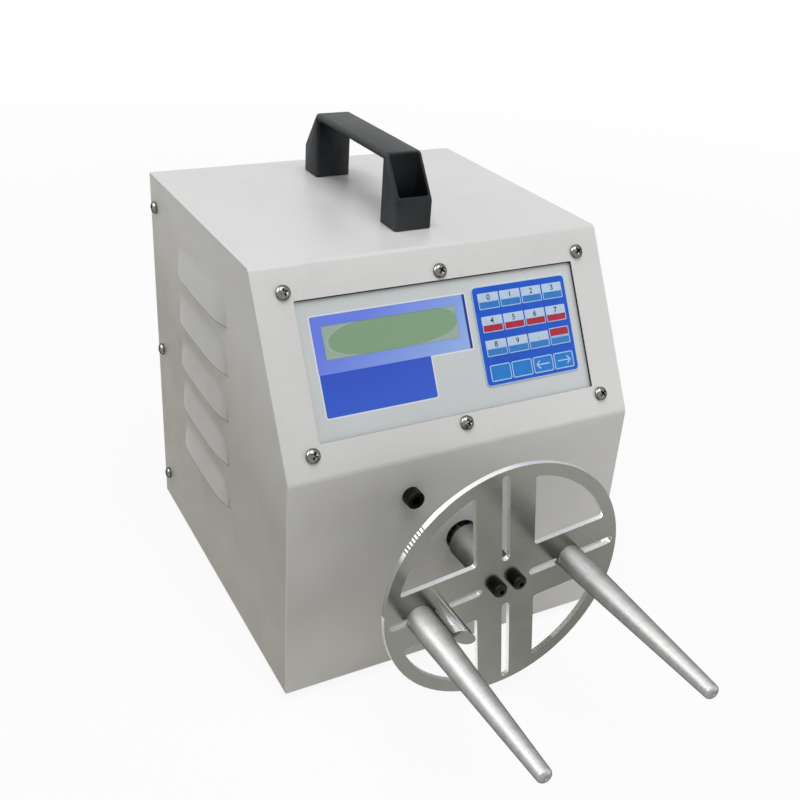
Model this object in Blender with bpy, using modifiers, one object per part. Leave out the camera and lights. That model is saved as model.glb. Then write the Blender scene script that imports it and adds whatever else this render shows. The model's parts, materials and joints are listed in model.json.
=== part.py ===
"""Bench winding machine for coils of wire, with a slotted winding disc and two tapered arms.

Metres, +Z up, +X to the operator's right, the operator stands at -Y. The origin is the middle
of the whole machine's outline on the bench.
"""
import math

import bmesh
import bpy
from mathutils import Matrix, Vector

# Common sheet metal and clearances
SHEET = 0.0012
GAP = 0.0003
OVERRUN = 0.001
SCREW_CLEARANCE = 0.0003
ROUND_SEGMENTS = 32
HIDDEN_SEGMENTS = 20
SMALL_SEGMENTS = 12

# Case
CASE_WIDTH = 0.175
CASE_DEPTH = 0.185
CASE_HEIGHT = 0.192
FRONT_HEIGHT = 0.1135
SLOPE_RUN = 0.0445
BEND_SETBACK = 0.0015
BASE_FLANGE = 0.012
REAR_FLANGE = 0.014

# Feet
FOOT_HEIGHT = 0.005
FOOT_TOP_RADIUS = 0.009
FOOT_BOTTOM_RADIUS = 0.0075
FOOT_BORE_RADIUS = 0.003
FOOT_INSET = 0.026

# Louvres pressed into both sides
LOUVRE_COUNT = 5
LOUVRE_HALF_LENGTH = 0.0356
LOUVRE_HEIGHT = 0.0185
LOUVRE_DEPTH = 0.0030
LOUVRE_SINK = 0.0003
LOUVRE_PITCH = 0.0241
LOUVRE_LOWEST = 0.0577
LOUVRE_MIDDLE_DEPTH = 0.1066
LOUVRE_END_POWER = 5.0
LOUVRE_TOP_POWER = 1.1
LOUVRE_COLUMNS = 14
LOUVRE_ROWS = 4

# Screws in the case sides, which hold the rear panel's flanges
SIDE_SCREW_SETBACK = 0.008
SIDE_SCREW_END = 0.016
SIDE_SCREW_HEAD_RADIUS = 0.0031
SIDE_SCREW_HEAD = 0.0022
SIDE_SCREW_SHANK_RADIUS = 0.0015
SIDE_SCREW_LENGTH = 0.006

# Panel on the sloping face
WINDOW_SIDE_MARGIN = 0.017
WINDOW_TOP = 0.0155
WINDOW_BOTTOM_MARGIN = 0.0147
WINDOW_CORNER = 0.0005
PANEL_SCREW_SIDE_MARGIN = 0.0131
PANEL_SCREW_TOP = 0.0114
PANEL_SCREW_BOTTOM_MARGIN = 0.0105
PANEL_SCREW_HEAD_RADIUS = 0.0032
PANEL_SCREW_HEAD = 0.0022
PANEL_SCREW_SHANK_RADIUS = 0.0015
PANEL_SCREW_LENGTH = 0.008
OVERLAY_THICKNESS = 0.0005
OVERLAY_MARGIN = 0.0012
PLATE_THICKNESS = 0.0015
PLATE_SIDE_MARGIN = 0.008
PLATE_TOP = 0.006
PLATE_BOTTOM_MARGIN = 0.0057
KEYPAD_WIDTH = 0.0511
KEYPAD_SIDE_MARGIN = 0.0049
KEYPAD_TOP = 0.021
KEYPAD_BOTTOM_MARGIN = 0.0091
KEYPAD_THICKNESS = 0.0004
KEYPAD_CORNER = 0.0022
DISPLAY_SIDE_MARGIN = 0.0105
DISPLAY_KEYPAD_GAP = 0.0093
DISPLAY_TOP = 0.0275
DISPLAY_BOTTOM = 0.042
DISPLAY_RIM = 0.003
DISPLAY_FRAME_MARGIN = 0.0045
DISPLAY_FRAME_DEPTH = 0.0045
DISPLAY_GLASS = 0.0011
BOARD_THICKNESS = 0.0016
STUD_RADIUS = 0.0025
STUD_LENGTH = 0.014
STUD_INSET = 0.0045
CONTROL_BOARD_SIDE_MARGIN = 0.0215
CONTROL_BOARD_TOP = 0.014
CONTROL_BOARD_BOTTOM_MARGIN = 0.0025

# Spindle and its bearing housing
SPINDLE_HEIGHT = 0.0651
SPINDLE_RADIUS = 0.005
SPINDLE_COLLAR_RADIUS = 0.0068
SPINDLE_CHAMFER = 0.0006
SPINDLE_HOLE_RADIUS = 0.008
HOUSING_FLANGE = 0.006
HOUSING_RADIUS = 0.017
HOUSING_LENGTH = 0.044
HOUSING_EAR_WIDTH = 0.017
HOUSING_EAR_ROUND = 0.006
HOUSING_BORE_RADIUS = 0.0085
BEARING_RADIUS = 0.013
BEARING_WIDTH = 0.008
BEARING_GROOVE = 0.0006
BEARING_RACE = 0.0022
FLANGE_BOLT_X = 0.0289
FLANGE_BOLT_Z = 0.0296
FLANGE_BOLT_RADIUS = 0.0025
FLANGE_BOLT_HEAD_RADIUS = 0.0043
FLANGE_BOLT_HEAD = 0.005
FLANGE_BOLT_SOCKET = 0.002
FLANGE_BOLT_SOCKET_DEPTH = 0.0026

# Hub and winding disc
HUB_RADIUS = 0.009
HUB_FRONT_GAP = 0.004
HUB_SOLID_NOSE = 0.011
HUB_CHAMFER = 0.0008
HUB_RETURN_RADIUS = 0.0015
DISC_RADIUS = 0.060
DISC_THICKNESS = 0.0024
DISC_STANDOFF = 0.0383
DISC_TURN = math.radians(6.9)
DISC_RIM = 0.006
DISC_SPOKE_HALF_WIDTH = 0.0148
DISC_WINDOW_CORNER = 0.0016
DISC_SEGMENTS = 88
SLOT_HALF_WIDTH = 0.002
SLOT_INNER = 0.0123
SLOT_OUTER = 0.0577
CENTRE_SCREW_OFFSET = 0.005
CENTRE_SCREW_RADIUS = 0.002
CENTRE_SCREW_HEAD_RADIUS = 0.0035
CENTRE_SCREW_HEAD = 0.0046
CENTRE_SCREW_LENGTH = 0.0095

# Arms that carry the coil, and the pin that holds the wire's start
ARM_LENGTH = 0.094
ARM_BASE_RADIUS = 0.0061
ARM_TIP_RADIUS = 0.0033
ARM_PARALLEL = 0.014
ARM_TIP_ROUND = 0.002
ARM_CENTRE_HOLE = 0.0009
ARM_STUD_RADIUS = 0.0016
LEFT_ARM_PLACE = 0.0434
RIGHT_ARM_PLACE = 0.0337
WASHER_RADIUS = 0.005
WASHER_THICKNESS = 0.001
NUT_RADIUS = 0.004
NUT_THICKNESS = 0.0032
STUD_TAIL = 0.001
PIN_PLACE = 0.0330
PIN_RADIUS = 0.00375
PIN_LENGTH = 0.0227
PIN_SHORT_LENGTH = 0.0169

# Belt drive
PULLEY_GAP = 0.003
PULLEY_WIDTH = 0.013
PULLEY_FLANGE = 0.0015
PULLEY_FLANGE_RISE = 0.003
SPINDLE_PULLEY_RADIUS = 0.018
MOTOR_PULLEY_RADIUS = 0.009
BELT_THICKNESS = 0.0018
BELT_SIDE_GAP = 0.0005
BELT_ARC_STEPS = 14
MOTOR_Z = 0.040
MOTOR_RADIUS = 0.029
MOTOR_REAR_CLEARANCE = 0.0232
MOTOR_BOSS_RADIUS = 0.011
MOTOR_BOSS = 0.004
MOTOR_ROUND = 0.0025
MOTOR_SHAFT_RADIUS = 0.003
MOTOR_REAR_RIB = 0.003
BRACKET_SHEET = 0.003
BRACKET_HALF_WIDTH = 0.031
BRACKET_SIDE_CLEARANCE = 0.0083
BRACKET_FOOT = 0.040
BRACKET_RISE = 0.058

# Power supply on the base
SUPPLY_WIDTH = 0.058
SUPPLY_REAR_CLEARANCE = 0.009
SUPPLY_HEIGHT = 0.034
SUPPLY_CORNER = 0.002
SUPPLY_SIDE_GAP = 0.006
SUPPLY_FRONT = 0.050

# Bridge handle on the top
HANDLE_LENGTH = 0.1035
HANDLE_HALF_WIDTH = 0.0094
HANDLE_HEIGHT = 0.0326
HANDLE_LEG = 0.0160
HANDLE_BAR = 0.0034
HANDLE_LIP = 0.0137
HANDLE_SLOPE_RUN = 0.0135
HANDLE_WALL = 0.0018
HANDLE_FRONT_WALL = 0.0012
HANDLE_POCKET_ROUND = 0.0009
HANDLE_FLOOR = 0.005
HANDLE_INNER_WALL = 0.0026
HANDLE_EDGE = 0.0015
HANDLE_MIDDLE_DEPTH = 0.1165
HANDLE_SCREW_RADIUS = 0.002
HANDLE_SCREW_HEAD_RADIUS = 0.0038
HANDLE_SCREW_HEAD = 0.0025
HANDLE_SCREW_TAIL = 0.003

# Sockets and switch in the rear panel
SWITCH_X = 0.0
INLET_SIDE_MARGIN = 0.0415
PEDAL_SIDE_MARGIN = 0.0415
REAR_ROW_HEIGHT = 0.036
SWITCH_HALF_WIDTH = 0.0075
SWITCH_HALF_HEIGHT = 0.0105
SWITCH_BEZEL = 0.0012
SWITCH_BEZEL_MARGIN = 0.001
SWITCH_BODY_DEPTH = 0.020
SWITCH_WELL = 0.007
SWITCH_WALL = 0.0015
ROCKER_RISE = 0.003
ROCKER_DEPTH = 0.005
ROCKER_TILT = math.radians(12.0)
INLET_HALF_WIDTH = 0.0137
INLET_HALF_HEIGHT = 0.018
INLET_FLANGE = 0.0025
INLET_FLANGE_MARGIN = 0.0015
INLET_BODY_DEPTH = 0.028
INLET_MOUTH_HALF_WIDTH = 0.0121
INLET_MOUTH_HALF_HEIGHT = 0.0082
INLET_MOUTH_DEPTH = 0.016
INLET_MOUTH_CHAMFER = 0.004
INLET_MOUTH_DROP = 0.007
CONTACT_HALF_WIDTH = 0.002
CONTACT_HALF_HEIGHT = 0.001
CONTACT_LENGTH = 0.0105
CONTACT_SPREAD = 0.007
CONTACT_DROP = 0.002
DRAWER_HALF_WIDTH = 0.011
DRAWER_HALF_HEIGHT = 0.0038
DRAWER_LIFT = 0.0105
DRAWER_DEPTH = 0.020
DRAWER_PROUD = 0.0012
DRAWER_TRAVEL = 0.016
PEDAL_RADIUS = 0.008
PEDAL_FLANGE_RADIUS = 0.0105
PEDAL_FLANGE = 0.002
PEDAL_NOSE = 0.0045
PEDAL_BORE_RADIUS = 0.006
PEDAL_BORE_DEPTH = 0.010
PEDAL_BODY_DEPTH = 0.016
REAR_REACH = GAP + PEDAL_FLANGE + PEDAL_NOSE

# Places that follow from the sizes above
FRONT_REACH = DISC_STANDOFF + ARM_LENGTH
FACE_Y = (FRONT_REACH - CASE_DEPTH - REAR_REACH) / 2
BACK_Y = FACE_Y + CASE_DEPTH
CASE_Z = FOOT_HEIGHT
TOP_Z = CASE_Z + CASE_HEIGHT
SPINDLE_Z = CASE_Z + SPINDLE_HEIGHT
DISC_Y = FACE_Y - DISC_STANDOFF
HALF_WIDTH = CASE_WIDTH / 2
SLOPE_RISE = CASE_HEIGHT - FRONT_HEIGHT
SLOPE_ANGLE = math.atan2(SLOPE_RISE, SLOPE_RUN)
SLOPE_LENGTH = math.hypot(SLOPE_RISE, SLOPE_RUN)
WINDOW_HALF_WIDTH = HALF_WIDTH - WINDOW_SIDE_MARGIN
KEYPAD_RIGHT = WINDOW_HALF_WIDTH - KEYPAD_SIDE_MARGIN
KEYPAD_LEFT = KEYPAD_RIGHT - KEYPAD_WIDTH
DISPLAY_RIGHT = KEYPAD_LEFT - DISPLAY_KEYPAD_GAP
DISPLAY_LEFT = DISPLAY_SIDE_MARGIN - WINDOW_HALF_WIDTH
PANEL_SCREW_SPREAD = HALF_WIDTH - PANEL_SCREW_SIDE_MARGIN
PLATE_HALF_WIDTH = HALF_WIDTH - PLATE_SIDE_MARGIN
CONTROL_BOARD_HALF_WIDTH = HALF_WIDTH - CONTROL_BOARD_SIDE_MARGIN
WINDOW_BOTTOM = SLOPE_LENGTH - WINDOW_BOTTOM_MARGIN
PANEL_SCREW_BOTTOM = SLOPE_LENGTH - PANEL_SCREW_BOTTOM_MARGIN
PLATE_BOTTOM = SLOPE_LENGTH - PLATE_BOTTOM_MARGIN
KEYPAD_BOTTOM = WINDOW_BOTTOM - KEYPAD_BOTTOM_MARGIN
CONTROL_BOARD_BOTTOM = WINDOW_BOTTOM - CONTROL_BOARD_BOTTOM_MARGIN
SIDE_INSET = SHEET + GAP
HOUSING_Y = FACE_Y + SHEET + GAP
PULLEY_Y = HOUSING_Y + HOUSING_LENGTH + PULLEY_GAP
BEARING_FRONT_Y = HOUSING_Y + HOUSING_FLANGE
BEARING_REAR_Y = HOUSING_Y + HOUSING_LENGTH - BEARING_WIDTH - GAP
BRACKET_Y = PULLEY_Y + PULLEY_WIDTH + PULLEY_GAP
MOTOR_Y = BRACKET_Y + BRACKET_SHEET + GAP
MOTOR_LENGTH = BACK_Y - PEDAL_BODY_DEPTH - MOTOR_REAR_CLEARANCE - MOTOR_Y
SUPPLY_DEPTH = CASE_DEPTH - INLET_BODY_DEPTH - SUPPLY_REAR_CLEARANCE - SUPPLY_FRONT
MOTOR_X = HALF_WIDTH - SHEET - BRACKET_SIDE_CLEARANCE - BRACKET_HALF_WIDTH
MOTOR_AXIS_Z = CASE_Z + MOTOR_Z
INLET_X = INLET_SIDE_MARGIN - HALF_WIDTH
PEDAL_X = HALF_WIDTH - PEDAL_SIDE_MARGIN
BASE_TOP_Z = CASE_Z + SHEET

# Colour, roughness and metallic value of each finish
FINISHES = {
    "off_white_paint": ((0.80, 0.80, 0.78), 0.45, 0.0),
    "satin_aluminium": ((0.78, 0.79, 0.80), 0.22, 1.0),
    "turned_aluminium": ((0.85, 0.86, 0.87), 0.28, 1.0),
    "bright_steel": ((0.70, 0.71, 0.72), 0.25, 1.0),
    "black_steel": ((0.03, 0.03, 0.03), 0.38, 0.6),
    "nickel": ((0.62, 0.62, 0.60), 0.22, 1.0),
    "black_plastic": ((0.025, 0.027, 0.030), 0.42, 0.0),
    "pale_overlay": ((0.74, 0.76, 0.80), 0.35, 0.0),
    "blue_film": ((0.05, 0.10, 0.50), 0.35, 0.0),
    "green_glass": ((0.36, 0.50, 0.30), 0.12, 0.0),
    "board_green": ((0.04, 0.22, 0.10), 0.45, 0.0),
    "rubber": ((0.03, 0.03, 0.03), 0.85, 0.0),
    "cast_grey": ((0.42, 0.43, 0.44), 0.55, 0.6),
    "zinc_sheet": ((0.60, 0.61, 0.62), 0.40, 0.9),
    "red_plastic": ((0.55, 0.03, 0.02), 0.35, 0.0),
}


def clear_scene():
    for old in list(bpy.data.objects):
        bpy.data.objects.remove(old, do_unlink=True)


def make_collection(name):
    group = bpy.data.collections.new(name)
    bpy.context.scene.collection.children.link(group)
    return group


def make_material(name, finish):
    colour, roughness, metallic = FINISHES[finish]
    material = bpy.data.materials.new(name)
    material.use_nodes = True
    shader = material.node_tree.nodes["Principled BSDF"]
    shader.inputs["Base Color"].default_value = (*colour, 1.0)
    shader.inputs["Roughness"].default_value = roughness
    shader.inputs["Metallic"].default_value = metallic
    return material


def add_object(name, bm, finish, smooth=True):
    """Turn a bmesh into a named part with its own material."""
    mesh = bpy.data.meshes.new(name)
    bm.normal_update()
    bm.to_mesh(mesh)
    bm.free()
    obj = bpy.data.objects.new(name, mesh)
    PARTS.objects.link(obj)
    obj.data.materials.append(make_material(name, finish))
    if smooth and len(mesh.polygons):
        mesh.shade_smooth()
        mesh.set_sharp_from_angle(angle=math.radians(35.0))
    return obj


def add_cutter(name, bm):
    """Turn a bmesh into a hidden tool for a Boolean."""
    mesh = bpy.data.meshes.new(name)
    bm.normal_update()
    bm.to_mesh(mesh)
    bm.free()
    obj = bpy.data.objects.new(name, mesh)
    CUTTERS.objects.link(obj)
    obj.hide_render = True
    obj.display_type = "WIRE"
    return obj


def boolean(obj, tool, operation="DIFFERENCE"):
    modifier = obj.modifiers.new(tool.name, "BOOLEAN")
    modifier.operation = operation
    modifier.solver = "EXACT"
    modifier.object = tool


def cut(obj, name, bm):
    boolean(obj, add_cutter(name, bm))


def join(obj, name, bm):
    boolean(obj, add_cutter(name, bm), "UNION")


def box_mesh(low, high, edge=0.0, segments=2):
    """A box between two corners, with its edges rounded by a radius if one is given."""
    bm = bmesh.new()
    bmesh.ops.create_cube(bm, size=1.0)
    for vert in bm.verts:
        corner = [high[axis] if vert.co[axis] > 0 else low[axis] for axis in range(3)]
        vert.co = Vector(corner)
    if edge > 0:
        bmesh.ops.bevel(bm, geom=bm.edges[:], offset=edge, segments=segments,
                        profile=0.5, affect="EDGES", material=-1)
    return bm


def round_edges(bm, direction, radius, segments=4):
    """Round the edges that run along one direction."""
    along = Vector(direction)
    edges = []
    for edge in bm.edges:
        run = edge.verts[1].co - edge.verts[0].co
        if abs(run.normalized().dot(along)) > 0.99:
            edges.append(edge)
    bmesh.ops.bevel(bm, geom=edges, offset=radius, segments=segments,
                    profile=0.5, affect="EDGES", material=-1)
    return bm


def rod_mesh(radius, start, end, segments=ROUND_SEGMENTS, radius_end=None):
    """A cylinder or cone between two points."""
    start = Vector(start)
    end = Vector(end)
    run = end - start
    last = radius if radius_end is None else radius_end
    bm = bmesh.new()
    bmesh.ops.create_cone(bm, cap_ends=True, segments=segments, radius1=radius,
                          radius2=last, depth=run.length)
    turn = run.to_track_quat("Z", "Y").to_matrix().to_4x4()
    place = Matrix.Translation((start + end) / 2) @ turn
    bmesh.ops.transform(bm, matrix=place, verts=bm.verts)
    return bm


def prism_mesh(outline, axis, low, high):
    """A flat outline, given as pairs, pushed along a world axis between two places."""
    bm = bmesh.new()
    verts = []
    for first, second in outline:
        point = {"X": (low, first, second), "Y": (first, low, second), "Z": (first, second, low)}
        verts.append(bm.verts.new(point[axis]))
    face = bm.faces.new(verts)
    grown = bmesh.ops.extrude_face_region(bm, geom=[face])
    moved = [item for item in grown["geom"] if isinstance(item, bmesh.types.BMVert)]
    step = {"X": (high - low, 0, 0), "Y": (0, high - low, 0), "Z": (0, 0, high - low)}
    bmesh.ops.translate(bm, vec=step[axis], verts=moved)
    bmesh.ops.recalc_face_normals(bm, faces=bm.faces)
    return bm


def turned(name, profile, finish, segments=ROUND_SEGMENTS, closed=False):
    """A turned piece about its own Z axis. The profile runs down its outer side."""
    bm = bmesh.new()
    verts = [bm.verts.new((radius, 0, height)) for radius, height in profile]
    for first, second in zip(verts, verts[1:]):
        bm.edges.new((first, second))
    if closed:
        bm.edges.new((verts[-1], verts[0]))
    obj = add_object(name, bm, finish, smooth=False)
    screw = obj.modifiers.new("turning", "SCREW")
    screw.axis = "Z"
    screw.steps = segments
    screw.render_steps = segments
    screw.use_merge_vertices = True
    screw.merge_threshold = 0.00001
    screw.use_smooth_shade = True
    return obj


def face_front(obj, place):
    """Turn a piece so that its own +Z points at the operator, and put it in place."""
    obj.rotation_euler = (math.radians(90.0), 0, 0)
    obj.location = place
    return obj


def make_empty(name, place, rotation=(0, 0, 0)):
    empty = bpy.data.objects.new(name, None)
    PARTS.objects.link(empty)
    empty.location = place
    empty.rotation_euler = rotation
    return empty


def case_outline(inset):
    """The case seen from the side, as (y, z) pairs, drawn in from its outer faces."""
    lean = SLOPE_ANGLE
    along_low = inset * (1 - math.sin(lean)) / math.cos(lean)
    low_z = FRONT_HEIGHT - inset * math.cos(lean) + along_low * math.sin(lean)
    along_high = (SLOPE_RISE - inset + inset * math.cos(lean)) / math.sin(lean)
    high_y = inset * math.sin(lean) + along_high * math.cos(lean)
    return {
        "front_low": (FACE_Y + inset, CASE_Z),
        "front_high": (FACE_Y + inset, CASE_Z + low_z),
        "top_front": (FACE_Y + high_y, TOP_Z - inset),
        "top_back": (BACK_Y, TOP_Z - inset),
        "back_low": (BACK_Y, CASE_Z),
    }


def slope_matrix():
    """Places things on the sloping face: x across, y down the slope from its top bend, z outwards."""
    across = Vector((1, 0, 0))
    down = Vector((0, -math.cos(SLOPE_ANGLE), -math.sin(SLOPE_ANGLE)))
    outward = Vector((0, -math.sin(SLOPE_ANGLE), math.cos(SLOPE_ANGLE)))
    turn = Matrix((across, -down, outward)).transposed().to_4x4()
    return Matrix.Translation((0, FACE_Y + SLOPE_RUN, TOP_Z)) @ turn


def slope_box(left, right, top, bottom, low, high, corner=0.0):
    """A box on the sloping face, from its distances across, down the slope and off the face."""
    bm = box_mesh((left, -bottom, low), (right, -top, high))
    if corner > 0:
        round_edges(bm, (0, 0, 1), corner)
    bmesh.ops.transform(bm, matrix=slope_matrix(), verts=bm.verts)
    return bm


def slope_rod(radius, across, down, low, high, segments=SMALL_SEGMENTS):
    bm = rod_mesh(radius, (across, -down, low), (across, -down, high), segments)
    bmesh.ops.transform(bm, matrix=slope_matrix(), verts=bm.verts)
    return bm


def panel_screw_places():
    places = []
    for row, down in (("upper", PANEL_SCREW_TOP), ("lower", PANEL_SCREW_BOTTOM)):
        for column, share in (("left", -1), ("middle", 0), ("right", 1)):
            places.append((row + "_" + column, share * PANEL_SCREW_SPREAD, down))
    return places


def side_screw_places():
    middle = (CASE_Z + TOP_Z) / 2
    heights = (("low", CASE_Z + SIDE_SCREW_END), ("middle", middle), ("high", TOP_Z - SIDE_SCREW_END))
    return [(name, BACK_Y - SIDE_SCREW_SETBACK, z) for name, z in heights]


def handle_screw_places():
    half = HANDLE_LENGTH / 2 - HANDLE_LEG / 2
    middle = FACE_Y + HANDLE_MIDDLE_DEPTH
    return [("front", middle - half), ("rear", middle + half)]


def flange_bolt_places():
    return [("left", -FLANGE_BOLT_X, SPINDLE_Z + FLANGE_BOLT_Z),
            ("right", FLANGE_BOLT_X, SPINDLE_Z - FLANGE_BOLT_Z)]


def build_front_cover():
    """One folded sheet makes the front, the sloping face and the top."""
    outline = case_outline(0.0)
    names = ("front_low", "front_high", "top_front", "top_back")
    bm = bmesh.new()
    verts = [bm.verts.new((-HALF_WIDTH, *outline[name])) for name in names]
    edges = [bm.edges.new(pair) for pair in zip(verts, verts[1:])]
    grown = bmesh.ops.extrude_edge_only(bm, edges=edges)
    moved = [item for item in grown["geom"] if isinstance(item, bmesh.types.BMVert)]
    bmesh.ops.translate(bm, vec=(CASE_WIDTH, 0, 0), verts=moved)
    bends = [edge for edge in bm.edges if len(edge.link_faces) == 2]
    bmesh.ops.bevel(bm, geom=bends, offset=BEND_SETBACK, segments=4, profile=0.5,
                    affect="EDGES", material=-1)
    bm.normal_update()
    middle = Vector((0, (FACE_Y + BACK_Y) / 2, CASE_Z))
    inward = [face for face in bm.faces
              if face.normal.dot(face.calc_center_median() - middle) < 0]
    bmesh.ops.reverse_faces(bm, faces=inward)
    cover = add_object("front_cover", bm, "off_white_paint")
    shell = cover.modifiers.new("sheet", "SOLIDIFY")
    shell.thickness = SHEET
    shell.offset = -1.0
    shell.use_even_offset = True
    depth = SHEET + OVERRUN
    cut(cover, "window_cutter",
        slope_box(-WINDOW_HALF_WIDTH, WINDOW_HALF_WIDTH, WINDOW_TOP, WINDOW_BOTTOM,
                  -depth, OVERRUN, WINDOW_CORNER))
    for name, across, down in panel_screw_places():
        hole = PANEL_SCREW_SHANK_RADIUS + SCREW_CLEARANCE
        cut(cover, "cover_hole_" + name, slope_rod(hole, across, down, -depth, OVERRUN))
    front = FACE_Y - OVERRUN
    inside = FACE_Y + depth
    cut(cover, "spindle_hole_cutter",
        rod_mesh(SPINDLE_HOLE_RADIUS, (0, front, SPINDLE_Z), (0, inside, SPINDLE_Z)))
    for name, x, z in flange_bolt_places():
        hole = FLANGE_BOLT_RADIUS + SCREW_CLEARANCE
        cut(cover, "cover_bolt_" + name, rod_mesh(hole, (x, front, z), (x, inside, z), SMALL_SEGMENTS))
    for name, y in handle_screw_places():
        hole = HANDLE_SCREW_RADIUS + SCREW_CLEARANCE
        cut(cover, "cover_handle_hole_" + name,
            rod_mesh(hole, (0, y, TOP_Z - depth), (0, y, TOP_Z + OVERRUN), SMALL_SEGMENTS))


def louvre_depth(along_share, up_share):
    """How far a louvre's skin stands out of the side: full at the lip, falling to its ends and its top."""
    ends = 1 - abs(along_share) ** LOUVRE_END_POWER
    rise = 1 - max(up_share, 0.0) ** LOUVRE_TOP_POWER
    return (LOUVRE_DEPTH + LOUVRE_SINK) * ends * rise - LOUVRE_SINK


def louvre_mesh(side, height, inward, drop):
    """A louvre as a solid behind its pressed skin, or the same moved inward and down as its hollow."""
    bm = bmesh.new()
    bmesh.ops.create_grid(bm, x_segments=LOUVRE_COLUMNS, y_segments=LOUVRE_ROWS, size=1.0)
    middle = FACE_Y + LOUVRE_MIDDLE_DEPTH
    for vert in bm.verts:
        along_share = math.sin(math.pi / 2 * vert.co.x)
        rise = (vert.co.y + 1) / 2 * (LOUVRE_HEIGHT + drop) - drop
        out = louvre_depth(along_share, rise / LOUVRE_HEIGHT) - inward
        vert.co = Vector((side * (HALF_WIDTH + out), middle + along_share * LOUVRE_HALF_LENGTH, height + rise))
    grown = bmesh.ops.extrude_face_region(bm, geom=bm.faces[:])
    back = HALF_WIDTH - SHEET / 2 if drop == 0 else HALF_WIDTH - SHEET - OVERRUN
    for item in grown["geom"]:
        if isinstance(item, bmesh.types.BMVert):
            item.co.x = side * back
    bmesh.ops.recalc_face_normals(bm, faces=bm.faces)
    return bm


def build_side_panel(name, side):
    """A flat side with five louvres pressed outwards, open downwards to let the heat out."""
    outline = case_outline(SIDE_INSET)
    corners = [outline[key] for key in ("front_low", "front_high", "top_front", "top_back", "back_low")]
    outer = side * HALF_WIDTH
    inner = side * (HALF_WIDTH - SHEET)
    panel = add_object(name, prism_mesh(corners, "X", outer, inner), "off_white_paint")
    for number in range(LOUVRE_COUNT):
        height = CASE_Z + LOUVRE_LOWEST + number * LOUVRE_PITCH
        tag = name + "_louvre_" + str(number + 1)
        join(panel, tag, louvre_mesh(side, height, 0.0, 0.0))
        cut(panel, tag + "_hollow", louvre_mesh(side, height, SHEET, OVERRUN))
    for place, y, z in side_screw_places():
        hole = SIDE_SCREW_SHANK_RADIUS + SCREW_CLEARANCE
        start = (outer + side * OVERRUN, y, z)
        end = (inner - side * OVERRUN, y, z)
        cut(panel, name + "_hole_" + place, rod_mesh(hole, start, end, SMALL_SEGMENTS))


def build_base_plate():
    """The floor of the case, with its two sides turned up inside the side panels."""
    half = HALF_WIDTH - SHEET - GAP
    low_y = FACE_Y + SIDE_INSET
    high_y = BACK_Y - SHEET - GAP
    base = add_object("base_plate", box_mesh((-half, low_y, CASE_Z), (half, high_y, BASE_TOP_Z)), "zinc_sheet")
    for name, side in (("left", -1), ("right", 1)):
        outer = side * half
        inner = side * (half - SHEET)
        low = (min(outer, inner), low_y, CASE_Z)
        high = (max(outer, inner), BACK_Y - REAR_FLANGE - SHEET - GAP, CASE_Z + BASE_FLANGE)
        join(base, "base_flange_" + name, box_mesh(low, high))


def rear_openings():
    """The cut-outs in the rear panel: name, half width, half height, x and z."""
    row = CASE_Z + REAR_ROW_HEIGHT
    return [("switch_hole", SWITCH_HALF_WIDTH, SWITCH_HALF_HEIGHT, SWITCH_X, row),
            ("inlet_hole", INLET_HALF_WIDTH, INLET_HALF_HEIGHT, INLET_X, row)]


def build_rear_panel():
    """The back of the case, with flanges turned forwards for the six side screws."""
    half = HALF_WIDTH - SHEET - GAP
    low_z = CASE_Z
    high_z = TOP_Z - SHEET - GAP
    panel = add_object("rear_panel",
                       box_mesh((-half, BACK_Y - SHEET, low_z), (half, BACK_Y, high_z)),
                       "off_white_paint")
    for name, side in (("left", -1), ("right", 1)):
        outer = side * half
        inner = side * (half - SHEET)
        low = (min(outer, inner), BACK_Y - REAR_FLANGE, BASE_TOP_Z + GAP)
        high = (max(outer, inner), BACK_Y, high_z)
        join(panel, "rear_flange_" + name, box_mesh(low, high))
        for place, y, z in side_screw_places():
            hole = SIDE_SCREW_SHANK_RADIUS + SCREW_CLEARANCE
            start = (outer + side * OVERRUN, y, z)
            end = (inner - side * OVERRUN, y, z)
            cut(panel, "rear_hole_" + name + "_" + place, rod_mesh(hole, start, end, SMALL_SEGMENTS))
    inside = BACK_Y - SHEET - OVERRUN
    outside = BACK_Y + OVERRUN
    for name, half_width, half_height, x, z in rear_openings():
        low = (x - half_width - GAP, inside, z - half_height - GAP)
        high = (x + half_width + GAP, outside, z + half_height + GAP)
        cut(panel, name, box_mesh(low, high))
    row = CASE_Z + REAR_ROW_HEIGHT
    cut(panel, "pedal_hole", rod_mesh(PEDAL_RADIUS + GAP, (PEDAL_X, inside, row), (PEDAL_X, outside, row)))


def pan_head_profile(head_radius, head, shank_radius, length):
    """A domed screw: its head above zero and its shank below."""
    return [(0, head),
            (head_radius * 0.62, head * 0.86),
            (head_radius, head * 0.26),
            (head_radius, 0),
            (shank_radius, 0),
            (shank_radius, -length),
            (0, -length)]


def build_feet():
    profile = [(FOOT_TOP_RADIUS, -GAP),
               (FOOT_BOTTOM_RADIUS, -FOOT_HEIGHT),
               (FOOT_BORE_RADIUS, -FOOT_HEIGHT),
               (FOOT_BORE_RADIUS, -FOOT_HEIGHT / 2),
               (0, -FOOT_HEIGHT / 2)]
    for side_name, side in (("left", -1), ("right", 1)):
        for end_name, y in (("front", FACE_Y + FOOT_INSET), ("rear", BACK_Y - FOOT_INSET)):
            name = "foot_" + end_name + "_" + side_name
            foot = turned(name, [(0, -GAP)] + profile, "rubber", HIDDEN_SEGMENTS)
            foot.location = (side * (HALF_WIDTH - FOOT_INSET), y, CASE_Z)


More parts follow.
